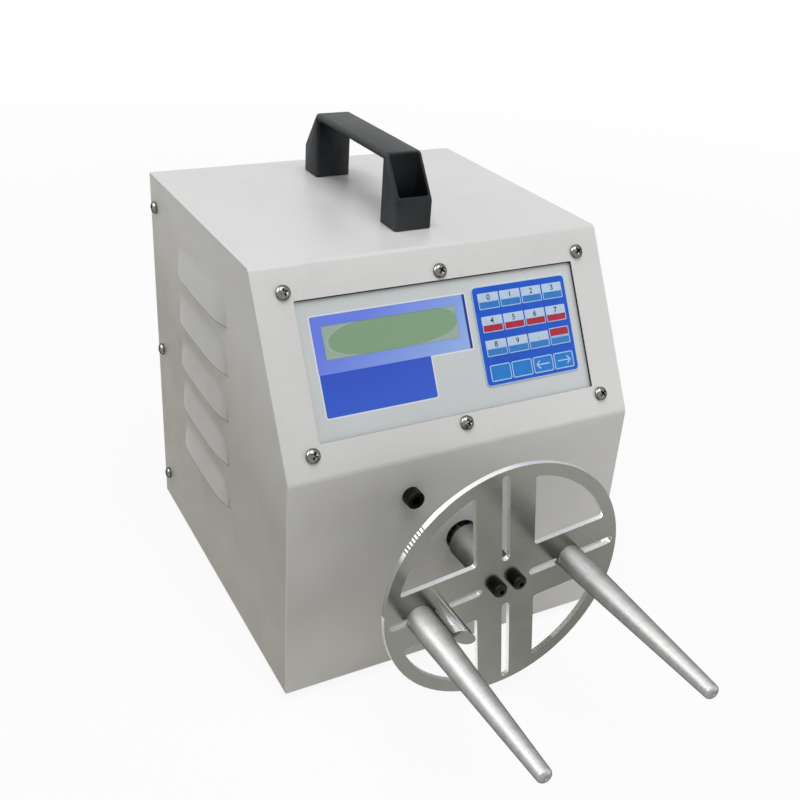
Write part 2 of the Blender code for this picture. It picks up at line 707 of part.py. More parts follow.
def build_side_screws():
    profile = pan_head_profile(SIDE_SCREW_HEAD_RADIUS, SIDE_SCREW_HEAD,
                               SIDE_SCREW_SHANK_RADIUS, SIDE_SCREW_LENGTH)
    for side_name, side in (("left", -1), ("right", 1)):
        for place, y, z in side_screw_places():
            screw = turned("side_screw_" + side_name + "_" + place, profile, "nickel", SMALL_SEGMENTS)
            screw.rotation_euler = (0, side * math.radians(90.0), 0)
            screw.location = (side * (HALF_WIDTH + GAP), y, z)


def build_panel_screws():
    profile = pan_head_profile(PANEL_SCREW_HEAD_RADIUS, PANEL_SCREW_HEAD,
                               PANEL_SCREW_SHANK_RADIUS, PANEL_SCREW_LENGTH)
    for place, across, down in panel_screw_places():
        screw = turned("panel_screw_" + place, profile, "nickel", SMALL_SEGMENTS)
        screw.matrix_world = slope_matrix() @ Matrix.Translation((across, -down, GAP))


def display_box(margin, low, high, corner=0.0):
    """A box on the sloping face that stands a margin outside the display's clear window."""
    return slope_box(DISPLAY_LEFT - margin, DISPLAY_RIGHT + margin, DISPLAY_TOP - margin,
                     DISPLAY_BOTTOM + margin, low, high, corner)


def build_control_panel():
    """The stack behind the window: printed overlay, plate, display and boards."""
    overlay_face = -(SHEET + GAP)
    overlay_back = overlay_face - OVERLAY_THICKNESS
    plate_face = overlay_back - GAP
    plate_back = plate_face - PLATE_THICKNESS
    overlay = add_object("printed_overlay",
                         slope_box(-WINDOW_HALF_WIDTH - OVERLAY_MARGIN, WINDOW_HALF_WIDTH + OVERLAY_MARGIN,
                                   WINDOW_TOP - OVERLAY_MARGIN, WINDOW_BOTTOM + OVERLAY_MARGIN,
                                   overlay_back, overlay_face), "pale_overlay")
    cut(overlay, "overlay_window", display_box(0.0, overlay_back - OVERRUN, overlay_face + OVERRUN))
    keypad_low = overlay_face + GAP / 2
    add_object("keypad_film",
               slope_box(KEYPAD_LEFT, KEYPAD_RIGHT, KEYPAD_TOP, KEYPAD_BOTTOM,
                         keypad_low, keypad_low + KEYPAD_THICKNESS, KEYPAD_CORNER), "blue_film")
    plate = add_object("panel_plate",
                       slope_box(-PLATE_HALF_WIDTH, PLATE_HALF_WIDTH, PLATE_TOP, PLATE_BOTTOM,
                                 plate_back, plate_face), "zinc_sheet")
    for place, across, down in panel_screw_places():
        hole = PANEL_SCREW_SHANK_RADIUS + SCREW_CLEARANCE
        cut(plate, "plate_hole_" + place, slope_rod(hole, across, down, plate_back - OVERRUN, OVERRUN))
    stud_end = plate_back - STUD_LENGTH
    for side in (-1, 1):
        for down in (CONTROL_BOARD_TOP + STUD_INSET, CONTROL_BOARD_BOTTOM - STUD_INSET):
            across = side * (CONTROL_BOARD_HALF_WIDTH - STUD_INSET)
            tag = "plate_stud_" + str(side) + "_" + str(round(down / OVERRUN))
            join(plate, tag, slope_rod(STUD_RADIUS, across, down, stud_end, plate_back + PLATE_THICKNESS / 2))
    cut(plate, "plate_window",
        display_box(DISPLAY_FRAME_MARGIN + GAP, plate_back - OVERRUN, plate_face + OVERRUN))
    frame_back = plate_face - DISPLAY_FRAME_DEPTH
    frame = add_object("display_frame", display_box(DISPLAY_FRAME_MARGIN, frame_back, plate_face), "black_steel")
    cut(frame, "display_frame_opening",
        display_box(DISPLAY_RIM - DISPLAY_RIM / 2, frame_back - OVERRUN, plate_face + OVERRUN))
    glass_face = plate_face - GAP
    add_object("display_glass",
               display_box(DISPLAY_RIM / 2 - GAP, glass_face - DISPLAY_GLASS, glass_face), "green_glass")
    control_face = stud_end - GAP
    add_object("control_board",
               slope_box(-CONTROL_BOARD_HALF_WIDTH, CONTROL_BOARD_HALF_WIDTH, CONTROL_BOARD_TOP,
                         CONTROL_BOARD_BOTTOM, control_face - BOARD_THICKNESS, control_face), "board_green")


def build_housing():
    """A flanged barrel behind the front face, bored for two ball bearings."""
    end_y = HOUSING_Y + HOUSING_LENGTH
    housing = add_object("bearing_housing",
                         rod_mesh(HOUSING_RADIUS, (0, HOUSING_Y, SPINDLE_Z), (0, end_y, SPINDLE_Z)), "cast_grey")
    half_reach = math.hypot(FLANGE_BOLT_X, FLANGE_BOLT_Z) + HOUSING_EAR_WIDTH / 2
    half_ear = HOUSING_EAR_WIDTH / 2
    ears = box_mesh((-half_reach, -HOUSING_FLANGE / 2, -half_ear), (half_reach, HOUSING_FLANGE / 2, half_ear))
    round_edges(ears, (0, 1, 0), HOUSING_EAR_ROUND)
    slant = math.atan2(FLANGE_BOLT_Z, FLANGE_BOLT_X)
    place = Matrix.Translation((0, HOUSING_Y + HOUSING_FLANGE / 2, SPINDLE_Z)) @ Matrix.Rotation(slant, 4, "Y")
    bmesh.ops.transform(ears, matrix=place, verts=ears.verts)
    join(housing, "housing_ears", ears)
    cut(housing, "housing_bore",
        rod_mesh(HOUSING_BORE_RADIUS, (0, HOUSING_Y - OVERRUN, SPINDLE_Z), (0, end_y + OVERRUN, SPINDLE_Z)))
    seat = BEARING_RADIUS + GAP
    front_seat_end = BEARING_FRONT_Y + BEARING_WIDTH + GAP
    cut(housing, "housing_front_seat",
        rod_mesh(seat, (0, HOUSING_Y - OVERRUN, SPINDLE_Z), (0, front_seat_end, SPINDLE_Z)))
    rear_seat_start = BEARING_REAR_Y - GAP
    cut(housing, "housing_rear_seat",
        rod_mesh(seat, (0, rear_seat_start, SPINDLE_Z), (0, end_y + OVERRUN, SPINDLE_Z)))
    for name, x, z in flange_bolt_places():
        hole = FLANGE_BOLT_RADIUS + SCREW_CLEARANCE
        start = (x, HOUSING_Y - OVERRUN, z)
        end = (x, HOUSING_Y + HOUSING_FLANGE + OVERRUN, z)
        cut(housing, "housing_hole_" + name, rod_mesh(hole, start, end, SMALL_SEGMENTS))


def build_bearings():
    """Sealed ball bearings, with the shallow groove of the seal between their races."""
    inner = SPINDLE_RADIUS + GAP
    outer = BEARING_RADIUS
    profile = [(outer, BEARING_WIDTH),
               (outer, 0),
               (outer - BEARING_RACE, 0),
               (outer - BEARING_RACE, BEARING_GROOVE),
               (inner + BEARING_RACE, BEARING_GROOVE),
               (inner + BEARING_RACE, 0),
               (inner, 0),
               (inner, BEARING_WIDTH),
               (inner + BEARING_RACE, BEARING_WIDTH),
               (inner + BEARING_RACE, BEARING_WIDTH - BEARING_GROOVE),
               (outer - BEARING_RACE, BEARING_WIDTH - BEARING_GROOVE),
               (outer - BEARING_RACE, BEARING_WIDTH)]
    for name, y in (("bearing_front", BEARING_FRONT_Y), ("bearing_rear", BEARING_REAR_Y)):
        bearing = turned(name, profile, "bright_steel", HIDDEN_SEGMENTS, closed=True)
        face_front(bearing, (0, y + BEARING_WIDTH, SPINDLE_Z))


def build_flange_bolts():
    """Cap screws through the front face into the bearing housing's ears."""
    length = SHEET + HOUSING_FLANGE + GAP
    profile = [(0, FLANGE_BOLT_HEAD - FLANGE_BOLT_SOCKET_DEPTH),
               (FLANGE_BOLT_SOCKET, FLANGE_BOLT_HEAD - FLANGE_BOLT_SOCKET_DEPTH),
               (FLANGE_BOLT_SOCKET, FLANGE_BOLT_HEAD),
               (FLANGE_BOLT_HEAD_RADIUS * 0.86, FLANGE_BOLT_HEAD),
               (FLANGE_BOLT_HEAD_RADIUS, FLANGE_BOLT_HEAD * 0.86),
               (FLANGE_BOLT_HEAD_RADIUS, 0),
               (FLANGE_BOLT_RADIUS, 0),
               (FLANGE_BOLT_RADIUS, -length),
               (0, -length)]
    for name, x, z in flange_bolt_places():
        bolt = turned("flange_bolt_" + name, profile, "black_steel", SMALL_SEGMENTS)
        face_front(bolt, (x, FACE_Y - GAP, z))


def build_spindle():
    """The driven shaft, from inside the hub back through both bearings and the pulley."""
    front_end = FACE_Y - DISC_STANDOFF + DISC_THICKNESS + GAP + HUB_SOLID_NOSE + GAP
    rear_end = PULLEY_Y + PULLEY_WIDTH + PULLEY_GAP / 2
    collar_front = BEARING_FRONT_Y + BEARING_WIDTH + GAP
    collar_rear = BEARING_REAR_Y - GAP
    origin_y = FACE_Y
    profile = [(0, origin_y - front_end),
               (SPINDLE_RADIUS - SPINDLE_CHAMFER, origin_y - front_end),
               (SPINDLE_RADIUS, origin_y - front_end - SPINDLE_CHAMFER),
               (SPINDLE_RADIUS, origin_y - collar_front),
               (SPINDLE_COLLAR_RADIUS, origin_y - collar_front),
               (SPINDLE_COLLAR_RADIUS, origin_y - collar_rear),
               (SPINDLE_RADIUS, origin_y - collar_rear),
               (SPINDLE_RADIUS, origin_y - rear_end + SPINDLE_CHAMFER),
               (SPINDLE_RADIUS - SPINDLE_CHAMFER, origin_y - rear_end),
               (0, origin_y - rear_end)]
    face_front(turned("spindle", profile, "bright_steel", HIDDEN_SEGMENTS), (0, origin_y, SPINDLE_Z))


def build_hub():
    """The round boss that carries the disc: blind bore behind, two tapped holes in its nose."""
    nose = -(DISC_Y + DISC_THICKNESS + GAP - FACE_Y)
    tail = HUB_FRONT_GAP
    bore = SPINDLE_RADIUS + GAP
    profile = [(0, nose),
               (HUB_RADIUS - HUB_CHAMFER, nose),
               (HUB_RADIUS, nose - HUB_CHAMFER),
               (HUB_RADIUS, tail + HUB_CHAMFER),
               (HUB_RADIUS - HUB_CHAMFER, tail),
               (bore, tail),
               (bore, nose - HUB_SOLID_NOSE),
               (0, nose - HUB_SOLID_NOSE)]
    hub = face_front(turned("hub", profile, "satin_aluminium"), (0, FACE_Y, SPINDLE_Z))
    depth = CENTRE_SCREW_LENGTH - DISC_THICKNESS + OVERRUN
    for name, side in (("left", -1), ("right", 1)):
        x = side * CENTRE_SCREW_OFFSET * math.cos(DISC_TURN)
        z = SPINDLE_Z + side * CENTRE_SCREW_OFFSET * math.sin(DISC_TURN)
        start = (x, DISC_Y, z)
        end = (x, DISC_Y + DISC_THICKNESS + depth, z)
        cut(hub, "hub_hole_" + name,
            rod_mesh(CENTRE_SCREW_RADIUS + SCREW_CLEARANCE, start, end, SMALL_SEGMENTS))


def window_mesh(x_side, z_side):
    """One quarter window of the disc: an L of straight spokes and an arc inside the rim."""
    reach = DISC_RADIUS - DISC_RIM
    half = DISC_SPOKE_HALF_WIDTH
    corner_along = math.sqrt(reach ** 2 - half ** 2)
    start = math.atan2(half, corner_along)
    end = math.pi / 2 - start
    steps = 14
    outline = [(half, half)]
    for number in range(steps + 1):
        angle = start + (end - start) * number / steps
        outline.append((reach * math.cos(angle), reach * math.sin(angle)))
    outline = [(x_side * x, z_side * z) for x, z in outline]
    bm = prism_mesh(outline, "Y", -OVERRUN, DISC_THICKNESS + OVERRUN)
    corners = []
    for edge in bm.edges:
        run = (edge.verts[1].co - edge.verts[0].co).normalized()
        first, second = edge.link_faces
        if abs(run.y) > 0.99 and first.normal.angle(second.normal) > math.radians(60.0):
            corners.append(edge)
    bmesh.ops.bevel(bm, geom=corners, offset=DISC_WINDOW_CORNER, segments=3, profile=0.5,
                    affect="EDGES", material=-1)
    return bm


def slot_mesh(angle):
    """A radial slot with round ends, turned to its place on the disc."""
    low = (SLOT_INNER, -OVERRUN, -SLOT_HALF_WIDTH)
    high = (SLOT_OUTER, DISC_THICKNESS + OVERRUN, SLOT_HALF_WIDTH)
    bm = box_mesh(low, high)
    round_edges(bm, (0, 1, 0), SLOT_HALF_WIDTH * 0.98, 5)
    bmesh.ops.transform(bm, matrix=Matrix.Rotation(angle, 4, "Y"), verts=bm.verts)
    return bm


def build_disc(turntable):
    """The winding disc: a rim, four spokes with a slot in each, and four quarter windows."""
    bm = rod_mesh(DISC_RADIUS, (0, 0, 0), (0, DISC_THICKNESS, 0), DISC_SEGMENTS)
    disc = add_object("winding_disc", bm, "satin_aluminium")
    disc.parent = turntable
    tools = []
    for name, x_side, z_side in (("upper_right", 1, 1), ("upper_left", -1, 1),
                                 ("lower_left", -1, -1), ("lower_right", 1, -1)):
        tools.append(add_cutter("disc_window_" + name, window_mesh(x_side, z_side)))
    for name, quarter in (("right", 0), ("lower", 1), ("left", 2), ("upper", 3)):
        tools.append(add_cutter("disc_slot_" + name, slot_mesh(quarter * math.pi / 2)))
    for name, side in (("left", -1), ("right", 1)):
        start = (side * CENTRE_SCREW_OFFSET, -OVERRUN, 0)
        end = (side * CENTRE_SCREW_OFFSET, DISC_THICKNESS + OVERRUN, 0)
        hole = CENTRE_SCREW_RADIUS + SCREW_CLEARANCE
        tools.append(add_cutter("disc_hole_" + name, rod_mesh(hole, start, end, SMALL_SEGMENTS)))
    for tool in tools:
        tool.parent = turntable
        boolean(disc, tool)


def build_centre_screws(turntable):
    """Two black cap screws with rounded heads hold the disc to the hub."""
    head = CENTRE_SCREW_HEAD
    profile = [(0, head),
               (CENTRE_SCREW_HEAD_RADIUS * 0.55, head * 0.96),
               (CENTRE_SCREW_HEAD_RADIUS * 0.88, head * 0.80),
               (CENTRE_SCREW_HEAD_RADIUS, head * 0.55),
               (CENTRE_SCREW_HEAD_RADIUS, 0),
               (CENTRE_SCREW_RADIUS, 0),
               (CENTRE_SCREW_RADIUS, -CENTRE_SCREW_LENGTH),
               (0, -CENTRE_SCREW_LENGTH)]
    for name, side in (("left", -1), ("right", 1)):
        screw = turned("centre_screw_" + name, profile, "black_steel", SMALL_SEGMENTS)
        face_front(screw, (side * CENTRE_SCREW_OFFSET, -GAP, 0))
        screw.parent = turntable


def fastening_length(washer):
    """How far a stud reaches behind the disc's front face, through nut and washer."""
    return DISC_THICKNESS + washer + NUT_THICKNESS + STUD_TAIL + GAP


def nut_mesh():
    """A hexagon nut with its bore, about its own Z axis, from zero upwards."""
    bm = rod_mesh(NUT_RADIUS, (0, 0, 0), (0, 0, NUT_THICKNESS), 6)
    return bm


def build_washer(name, holder):
    """The washer between the disc's back and an arm's nut."""
    washer_face = DISC_THICKNESS + GAP
    bore = ARM_STUD_RADIUS + SCREW_CLEARANCE
    ring = [(WASHER_RADIUS, WASHER_THICKNESS), (WASHER_RADIUS, 0), (bore, 0), (bore, WASHER_THICKNESS)]
    washer = turned(name + "_washer", ring, "bright_steel", SMALL_SEGMENTS, closed=True)
    face_front(washer, (0, washer_face + WASHER_THICKNESS, 0))
    washer.parent = holder


def build_nut(name, holder, washer):
    """The nut on a stud behind the disc, past a washer of the given thickness."""
    bore = ARM_STUD_RADIUS + SCREW_CLEARANCE
    nut_face = DISC_THICKNESS + GAP + washer
    nut = add_object(name + "_nut", nut_mesh(), "bright_steel")
    nut.rotation_euler = (math.radians(-90.0), 0, 0)
    nut.location = (0, nut_face, 0)
    nut.parent = holder
    tool = add_cutter(name + "_nut_bore",
                      rod_mesh(bore, (0, 0, -OVERRUN), (0, 0, NUT_THICKNESS + OVERRUN), SMALL_SEGMENTS))
    tool.rotation_euler = nut.rotation_euler
    tool.location = nut.location
    tool.parent = holder
    boolean(nut, tool)


def build_arm(name, place, turntable):
    """A turned arm: parallel foot, long taper, rounded tip with the lathe's centre hole."""
    holder = make_empty(name + "_axis", (place, 0, 0))
    holder.parent = turntable
    tip = ARM_LENGTH
    tail = fastening_length(WASHER_THICKNESS + GAP)
    profile = [(0, tip - ARM_CENTRE_HOLE),
               (ARM_CENTRE_HOLE, tip),
               (ARM_TIP_RADIUS - ARM_TIP_ROUND, tip)]
    for number in range(1, 4):
        angle = math.radians(90.0) * number / 3
        radius = ARM_TIP_RADIUS - ARM_TIP_ROUND + ARM_TIP_ROUND * math.sin(angle)
        profile.append((radius, tip - ARM_TIP_ROUND + ARM_TIP_ROUND * math.cos(angle)))
    profile += [(ARM_BASE_RADIUS, ARM_PARALLEL),
                (ARM_BASE_RADIUS, GAP),
                (ARM_STUD_RADIUS, GAP),
                (ARM_STUD_RADIUS, -tail),
                (0, -tail)]
    arm = turned(name, profile, "turned_aluminium")
    face_front(arm, (0, 0, 0))
    arm.parent = holder
    build_washer(name, holder)
    build_nut(name, holder, WASHER_THICKNESS + GAP)


def build_wire_pin(turntable):
    """A short pin beside the left arm, cut aslant so that the wire slips in between them."""
    holder = make_empty("wire_pin_axis", (-PIN_PLACE, 0, 0))
    holder.parent = turntable
    tail = fastening_length(0)
    profile = [(0, PIN_LENGTH),
               (PIN_RADIUS, PIN_LENGTH),
               (PIN_RADIUS, GAP),
               (ARM_STUD_RADIUS, GAP),
               (ARM_STUD_RADIUS, -tail),
               (0, -tail)]
    pin = turned("wire_pin", profile, "turned_aluminium")
    face_front(pin, (0, 0, 0))
    pin.parent = holder
    slant = math.atan2(PIN_LENGTH - PIN_SHORT_LENGTH, 2 * PIN_RADIUS)
    half = 2 * PIN_LENGTH
    bm = box_mesh((-half, -2 * half, -half), (half, 0, half))
    middle = (PIN_LENGTH + PIN_SHORT_LENGTH) / 2
    place = Matrix.Translation((0, -middle, 0)) @ Matrix.Rotation(-slant, 4, "Z")
    bmesh.ops.transform(bm, matrix=place, verts=bm.verts)
    tool = add_cutter("wire_pin_slant", bm)
    tool.parent = holder
    boolean(pin, tool)
    build_nut("wire_pin", holder, 0)


def build_pulley(name, radius, bore, place, finish):
    """A pulley with a flat track between two flanges."""
    rim = radius + PULLEY_FLANGE_RISE
    profile = [(rim, 0),
               (rim, -PULLEY_FLANGE),
               (radius, -PULLEY_FLANGE),
               (radius, -PULLEY_WIDTH + PULLEY_FLANGE),
               (rim, -PULLEY_WIDTH + PULLEY_FLANGE),
               (rim, -PULLEY_WIDTH),
               (bore, -PULLEY_WIDTH),
               (bore, 0)]
    return face_front(turned(name, profile, finish, HIDDEN_SEGMENTS, closed=True), place)


def belt_loop():
    """The belt's inner line as (x, z) points round both pulleys, by their outer tangents."""
    start = Vector((0, SPINDLE_Z))
    end = Vector((MOTOR_X, MOTOR_AXIS_Z))
    run = end - start
    heading = math.atan2(run.y, run.x)
    large = SPINDLE_PULLEY_RADIUS + GAP
    small = MOTOR_PULLEY_RADIUS + GAP
    lean = math.acos((large - small) / run.length)
    points = []
    for centre, radius, first, last in ((start, large, lean, 2 * math.pi - lean), (end, small, -lean, lean)):
        for number in range(BELT_ARC_STEPS + 1):
            angle = heading + first + (last - first) * number / BELT_ARC_STEPS
            points.append((centre.x + radius * math.cos(angle), centre.y + radius * math.sin(angle)))
    return points


def build_belt():
    """A flat belt between the motor pulley and the spindle pulley."""
    low = PULLEY_Y + PULLEY_FLANGE + BELT_SIDE_GAP
    width = PULLEY_WIDTH - 2 * PULLEY_FLANGE - 2 * BELT_SIDE_GAP
    bm = bmesh.new()
    verts = [bm.verts.new((x, low, z)) for x, z in belt_loop()]
    edges = [bm.edges.new(pair) for pair in zip(verts, verts[1:] + verts[:1])]
    grown = bmesh.ops.extrude_edge_only(bm, edges=edges)
    moved = [item for item in grown["geom"] if isinstance(item, bmesh.types.BMVert)]
    bmesh.ops.translate(bm, vec=(0, width, 0), verts=moved)
    bm.normal_update()
    middle = Vector((MOTOR_X / 2, low, (SPINDLE_Z + MOTOR_AXIS_Z) / 2))
    inward = [face for face in bm.faces
              if face.normal.dot(face.calc_center_median() - middle) < 0]
    bmesh.ops.reverse_faces(bm, faces=inward)
    belt = add_object("drive_belt", bm, "rubber")
    shell = belt.modifiers.new("thickness", "SOLIDIFY")
    shell.thickness = BELT_THICKNESS
    shell.offset = 1.0
    shell.use_even_offset = True


def build_motor():
    """The motor body on its bracket, with its shaft out through the bracket to the pulley."""
    end = -MOTOR_LENGTH
    profile = [(0, MOTOR_BOSS),
               (MOTOR_BOSS_RADIUS, MOTOR_BOSS),
               (MOTOR_BOSS_RADIUS, 0),
               (MOTOR_RADIUS - MOTOR_ROUND, 0),
               (MOTOR_RADIUS, -MOTOR_ROUND),
               (MOTOR_RADIUS, end + MOTOR_ROUND + MOTOR_REAR_RIB),
               (MOTOR_RADIUS - MOTOR_ROUND, end + MOTOR_ROUND),
               (MOTOR_RADIUS - MOTOR_ROUND, end),
               (0, end)]
    motor = turned("motor", profile, "cast_grey", HIDDEN_SEGMENTS)
    face_front(motor, (MOTOR_X, MOTOR_Y, MOTOR_AXIS_Z))
    bore = MOTOR_SHAFT_RADIUS + GAP
    start = (MOTOR_X, MOTOR_Y - MOTOR_BOSS - OVERRUN, MOTOR_AXIS_Z)
    finish = (MOTOR_X, MOTOR_Y + MOTOR_LENGTH / 2, MOTOR_AXIS_Z)
    cut(motor, "motor_bore", rod_mesh(bore, start, finish, SMALL_SEGMENTS))
    front = PULLEY_Y - PULLEY_GAP / 2
    back = MOTOR_Y + MOTOR_LENGTH / 2 - GAP
    shaft = [(0, MOTOR_Y - front),
             (MOTOR_SHAFT_RADIUS, MOTOR_Y - front),
             (MOTOR_SHAFT_RADIUS, MOTOR_Y - back),
             (0, MOTOR_Y - back)]
    face_front(turned("motor_shaft", shaft, "bright_steel", SMALL_SEGMENTS),
               (MOTOR_X, MOTOR_Y, MOTOR_AXIS_Z))
    bracket = add_object("motor_bracket",
                         box_mesh((MOTOR_X - BRACKET_HALF_WIDTH, BRACKET_Y, BASE_TOP_Z + GAP),
                                  (MOTOR_X + BRACKET_HALF_WIDTH, BRACKET_Y + BRACKET_SHEET,
                                   BASE_TOP_Z + BRACKET_RISE)), "zinc_sheet")
    foot_top = BASE_TOP_Z + GAP + BRACKET_SHEET
    join(bracket, "bracket_foot",
         box_mesh((MOTOR_X - BRACKET_HALF_WIDTH, BRACKET_Y, BASE_TOP_Z + GAP),
                  (MOTOR_X + BRACKET_HALF_WIDTH, BRACKET_Y + BRACKET_FOOT, foot_top)))
    cut(bracket, "bracket_hole",
        rod_mesh(MOTOR_BOSS_RADIUS + GAP, (MOTOR_X, BRACKET_Y - OVERRUN, MOTOR_AXIS_Z),
                 (MOTOR_X, BRACKET_Y + BRACKET_SHEET + OVERRUN, MOTOR_AXIS_Z)))


def build_power_supply():
    left = -HALF_WIDTH + SHEET + GAP + SHEET + SUPPLY_SIDE_GAP
    low = (left, FACE_Y + SUPPLY_FRONT, BASE_TOP_Z + GAP)
    high = (left + SUPPLY_WIDTH, FACE_Y + SUPPLY_FRONT + SUPPLY_DEPTH, BASE_TOP_Z + GAP + SUPPLY_HEIGHT)
    add_object("power_supply", box_mesh(low, high, SUPPLY_CORNER), "zinc_sheet")


def handle_outline():
    """The bridge handle seen from the side, as (y, z) pairs."""
    half = HANDLE_LENGTH / 2
    middle = FACE_Y + HANDLE_MIDDLE_DEPTH
    foot = TOP_Z + GAP
    top = TOP_Z + HANDLE_HEIGHT
    under = top - HANDLE_BAR
    lip = TOP_Z + HANDLE_LIP
    points = [(-half, foot), (-half, lip), (-half + HANDLE_SLOPE_RUN, top),
              (half - HANDLE_SLOPE_RUN, top), (half, lip), (half, foot),
              (half - HANDLE_LEG, foot), (half - HANDLE_LEG, under),
              (-half + HANDLE_LEG, under), (-half + HANDLE_LEG, foot)]
    return [(middle + y, z) for y, z in points]


def build_handle():
    """A moulded carrying handle: thin bar, two legs, and a deep screw pocket in each slope."""
    bm = prism_mesh(handle_outline(), "X", -HANDLE_HALF_WIDTH, HANDLE_HALF_WIDTH)
    sharp = [edge for edge in bm.edges
             if (edge.verts[0].co.z > TOP_Z + HANDLE_EDGE * 2 or edge.verts[1].co.z > TOP_Z + HANDLE_EDGE * 2)]
    bmesh.ops.bevel(bm, geom=sharp, offset=HANDLE_EDGE, segments=3, profile=0.5,
                    affect="EDGES", material=-1)
    handle = add_object("carry_handle", bm, "black_plastic")
    middle = FACE_Y + HANDLE_MIDDLE_DEPTH
    half = HANDLE_LENGTH / 2
    inner = HANDLE_HALF_WIDTH - HANDLE_WALL
    floor = TOP_Z + HANDLE_FLOOR
    for name, side in (("front", -1), ("rear", 1)):
        outer_y = middle + side * (half - HANDLE_FRONT_WALL)
        inner_y = middle + side * (half - HANDLE_LEG + HANDLE_INNER_WALL)
        low = (-inner, min(outer_y, inner_y), floor)
        high = (inner, max(outer_y, inner_y), TOP_Z + HANDLE_HEIGHT + OVERRUN)
        pocket = box_mesh(low, high)
        round_edges(pocket, (0, 0, 1), HANDLE_POCKET_ROUND, 2)
        cut(handle, "handle_pocket_" + name, pocket)
    for name, y in handle_screw_places():
        hole = HANDLE_SCREW_RADIUS + SCREW_CLEARANCE
        cut(handle, "handle_hole_" + name,
            rod_mesh(hole, (0, y, TOP_Z - OVERRUN), (0, y, floor + OVERRUN), SMALL_SEGMENTS))
    length = HANDLE_FLOOR + SHEET + HANDLE_SCREW_TAIL
    profile = pan_head_profile(HANDLE_SCREW_HEAD_RADIUS, HANDLE_SCREW_HEAD, HANDLE_SCREW_RADIUS, length)
    for name, y in handle_screw_places():
        screw = turned("handle_screw_" + name, profile, "nickel", SMALL_SEGMENTS)
        screw.location = (0, y, floor + GAP)


def build_switch():
    """A snap-in rocker switch: its frame in the rear panel and the rocker on its pivot."""
    row = CASE_Z + REAR_ROW_HEIGHT
    x = SWITCH_X
    back = BACK_Y - SHEET - SWITCH_BODY_DEPTH
    seat = BACK_Y + GAP
    face = seat + SWITCH_BEZEL
    frame = add_object("switch_frame",
                       box_mesh((x - SWITCH_HALF_WIDTH, back, row - SWITCH_HALF_HEIGHT),
                                (x + SWITCH_HALF_WIDTH, face, row + SWITCH_HALF_HEIGHT)), "black_plastic")
    rim_x = SWITCH_HALF_WIDTH + SWITCH_BEZEL_MARGIN
    rim_z = SWITCH_HALF_HEIGHT + SWITCH_BEZEL_MARGIN
    join(frame, "switch_rim", box_mesh((x - rim_x, seat, row - rim_z), (x + rim_x, face, row + rim_z)))
    well_x = SWITCH_HALF_WIDTH - SWITCH_WALL
    well_z = SWITCH_HALF_HEIGHT - SWITCH_WALL
    cut(frame, "switch_well",
        box_mesh((x - well_x, face - SWITCH_WELL, row - well_z), (x + well_x, face + OVERRUN, row + well_z)))
    rocker_x = well_x - GAP
    rocker_z = well_z - GAP - math.tan(ROCKER_TILT) * ROCKER_DEPTH / 2
    low = face - ROCKER_DEPTH / 2
    high = face + ROCKER_RISE
    waist = face + ROCKER_RISE / 3
    outline = [(low, row - rocker_z), (high, row - rocker_z), (waist, row), (high, row + rocker_z),
               (low, row + rocker_z)]
    pivot_y = face
    bm = prism_mesh([(y - pivot_y, z - row) for y, z in outline], "X", -rocker_x, rocker_x)
    tilt = Matrix.Rotation(ROCKER_TILT / 2, 4, "X")
    bmesh.ops.transform(bm, matrix=tilt, verts=bm.verts)
    rocker = add_object("switch_rocker", bm, "red_plastic", smooth=False)
    rocker.location = (x, pivot_y, row)


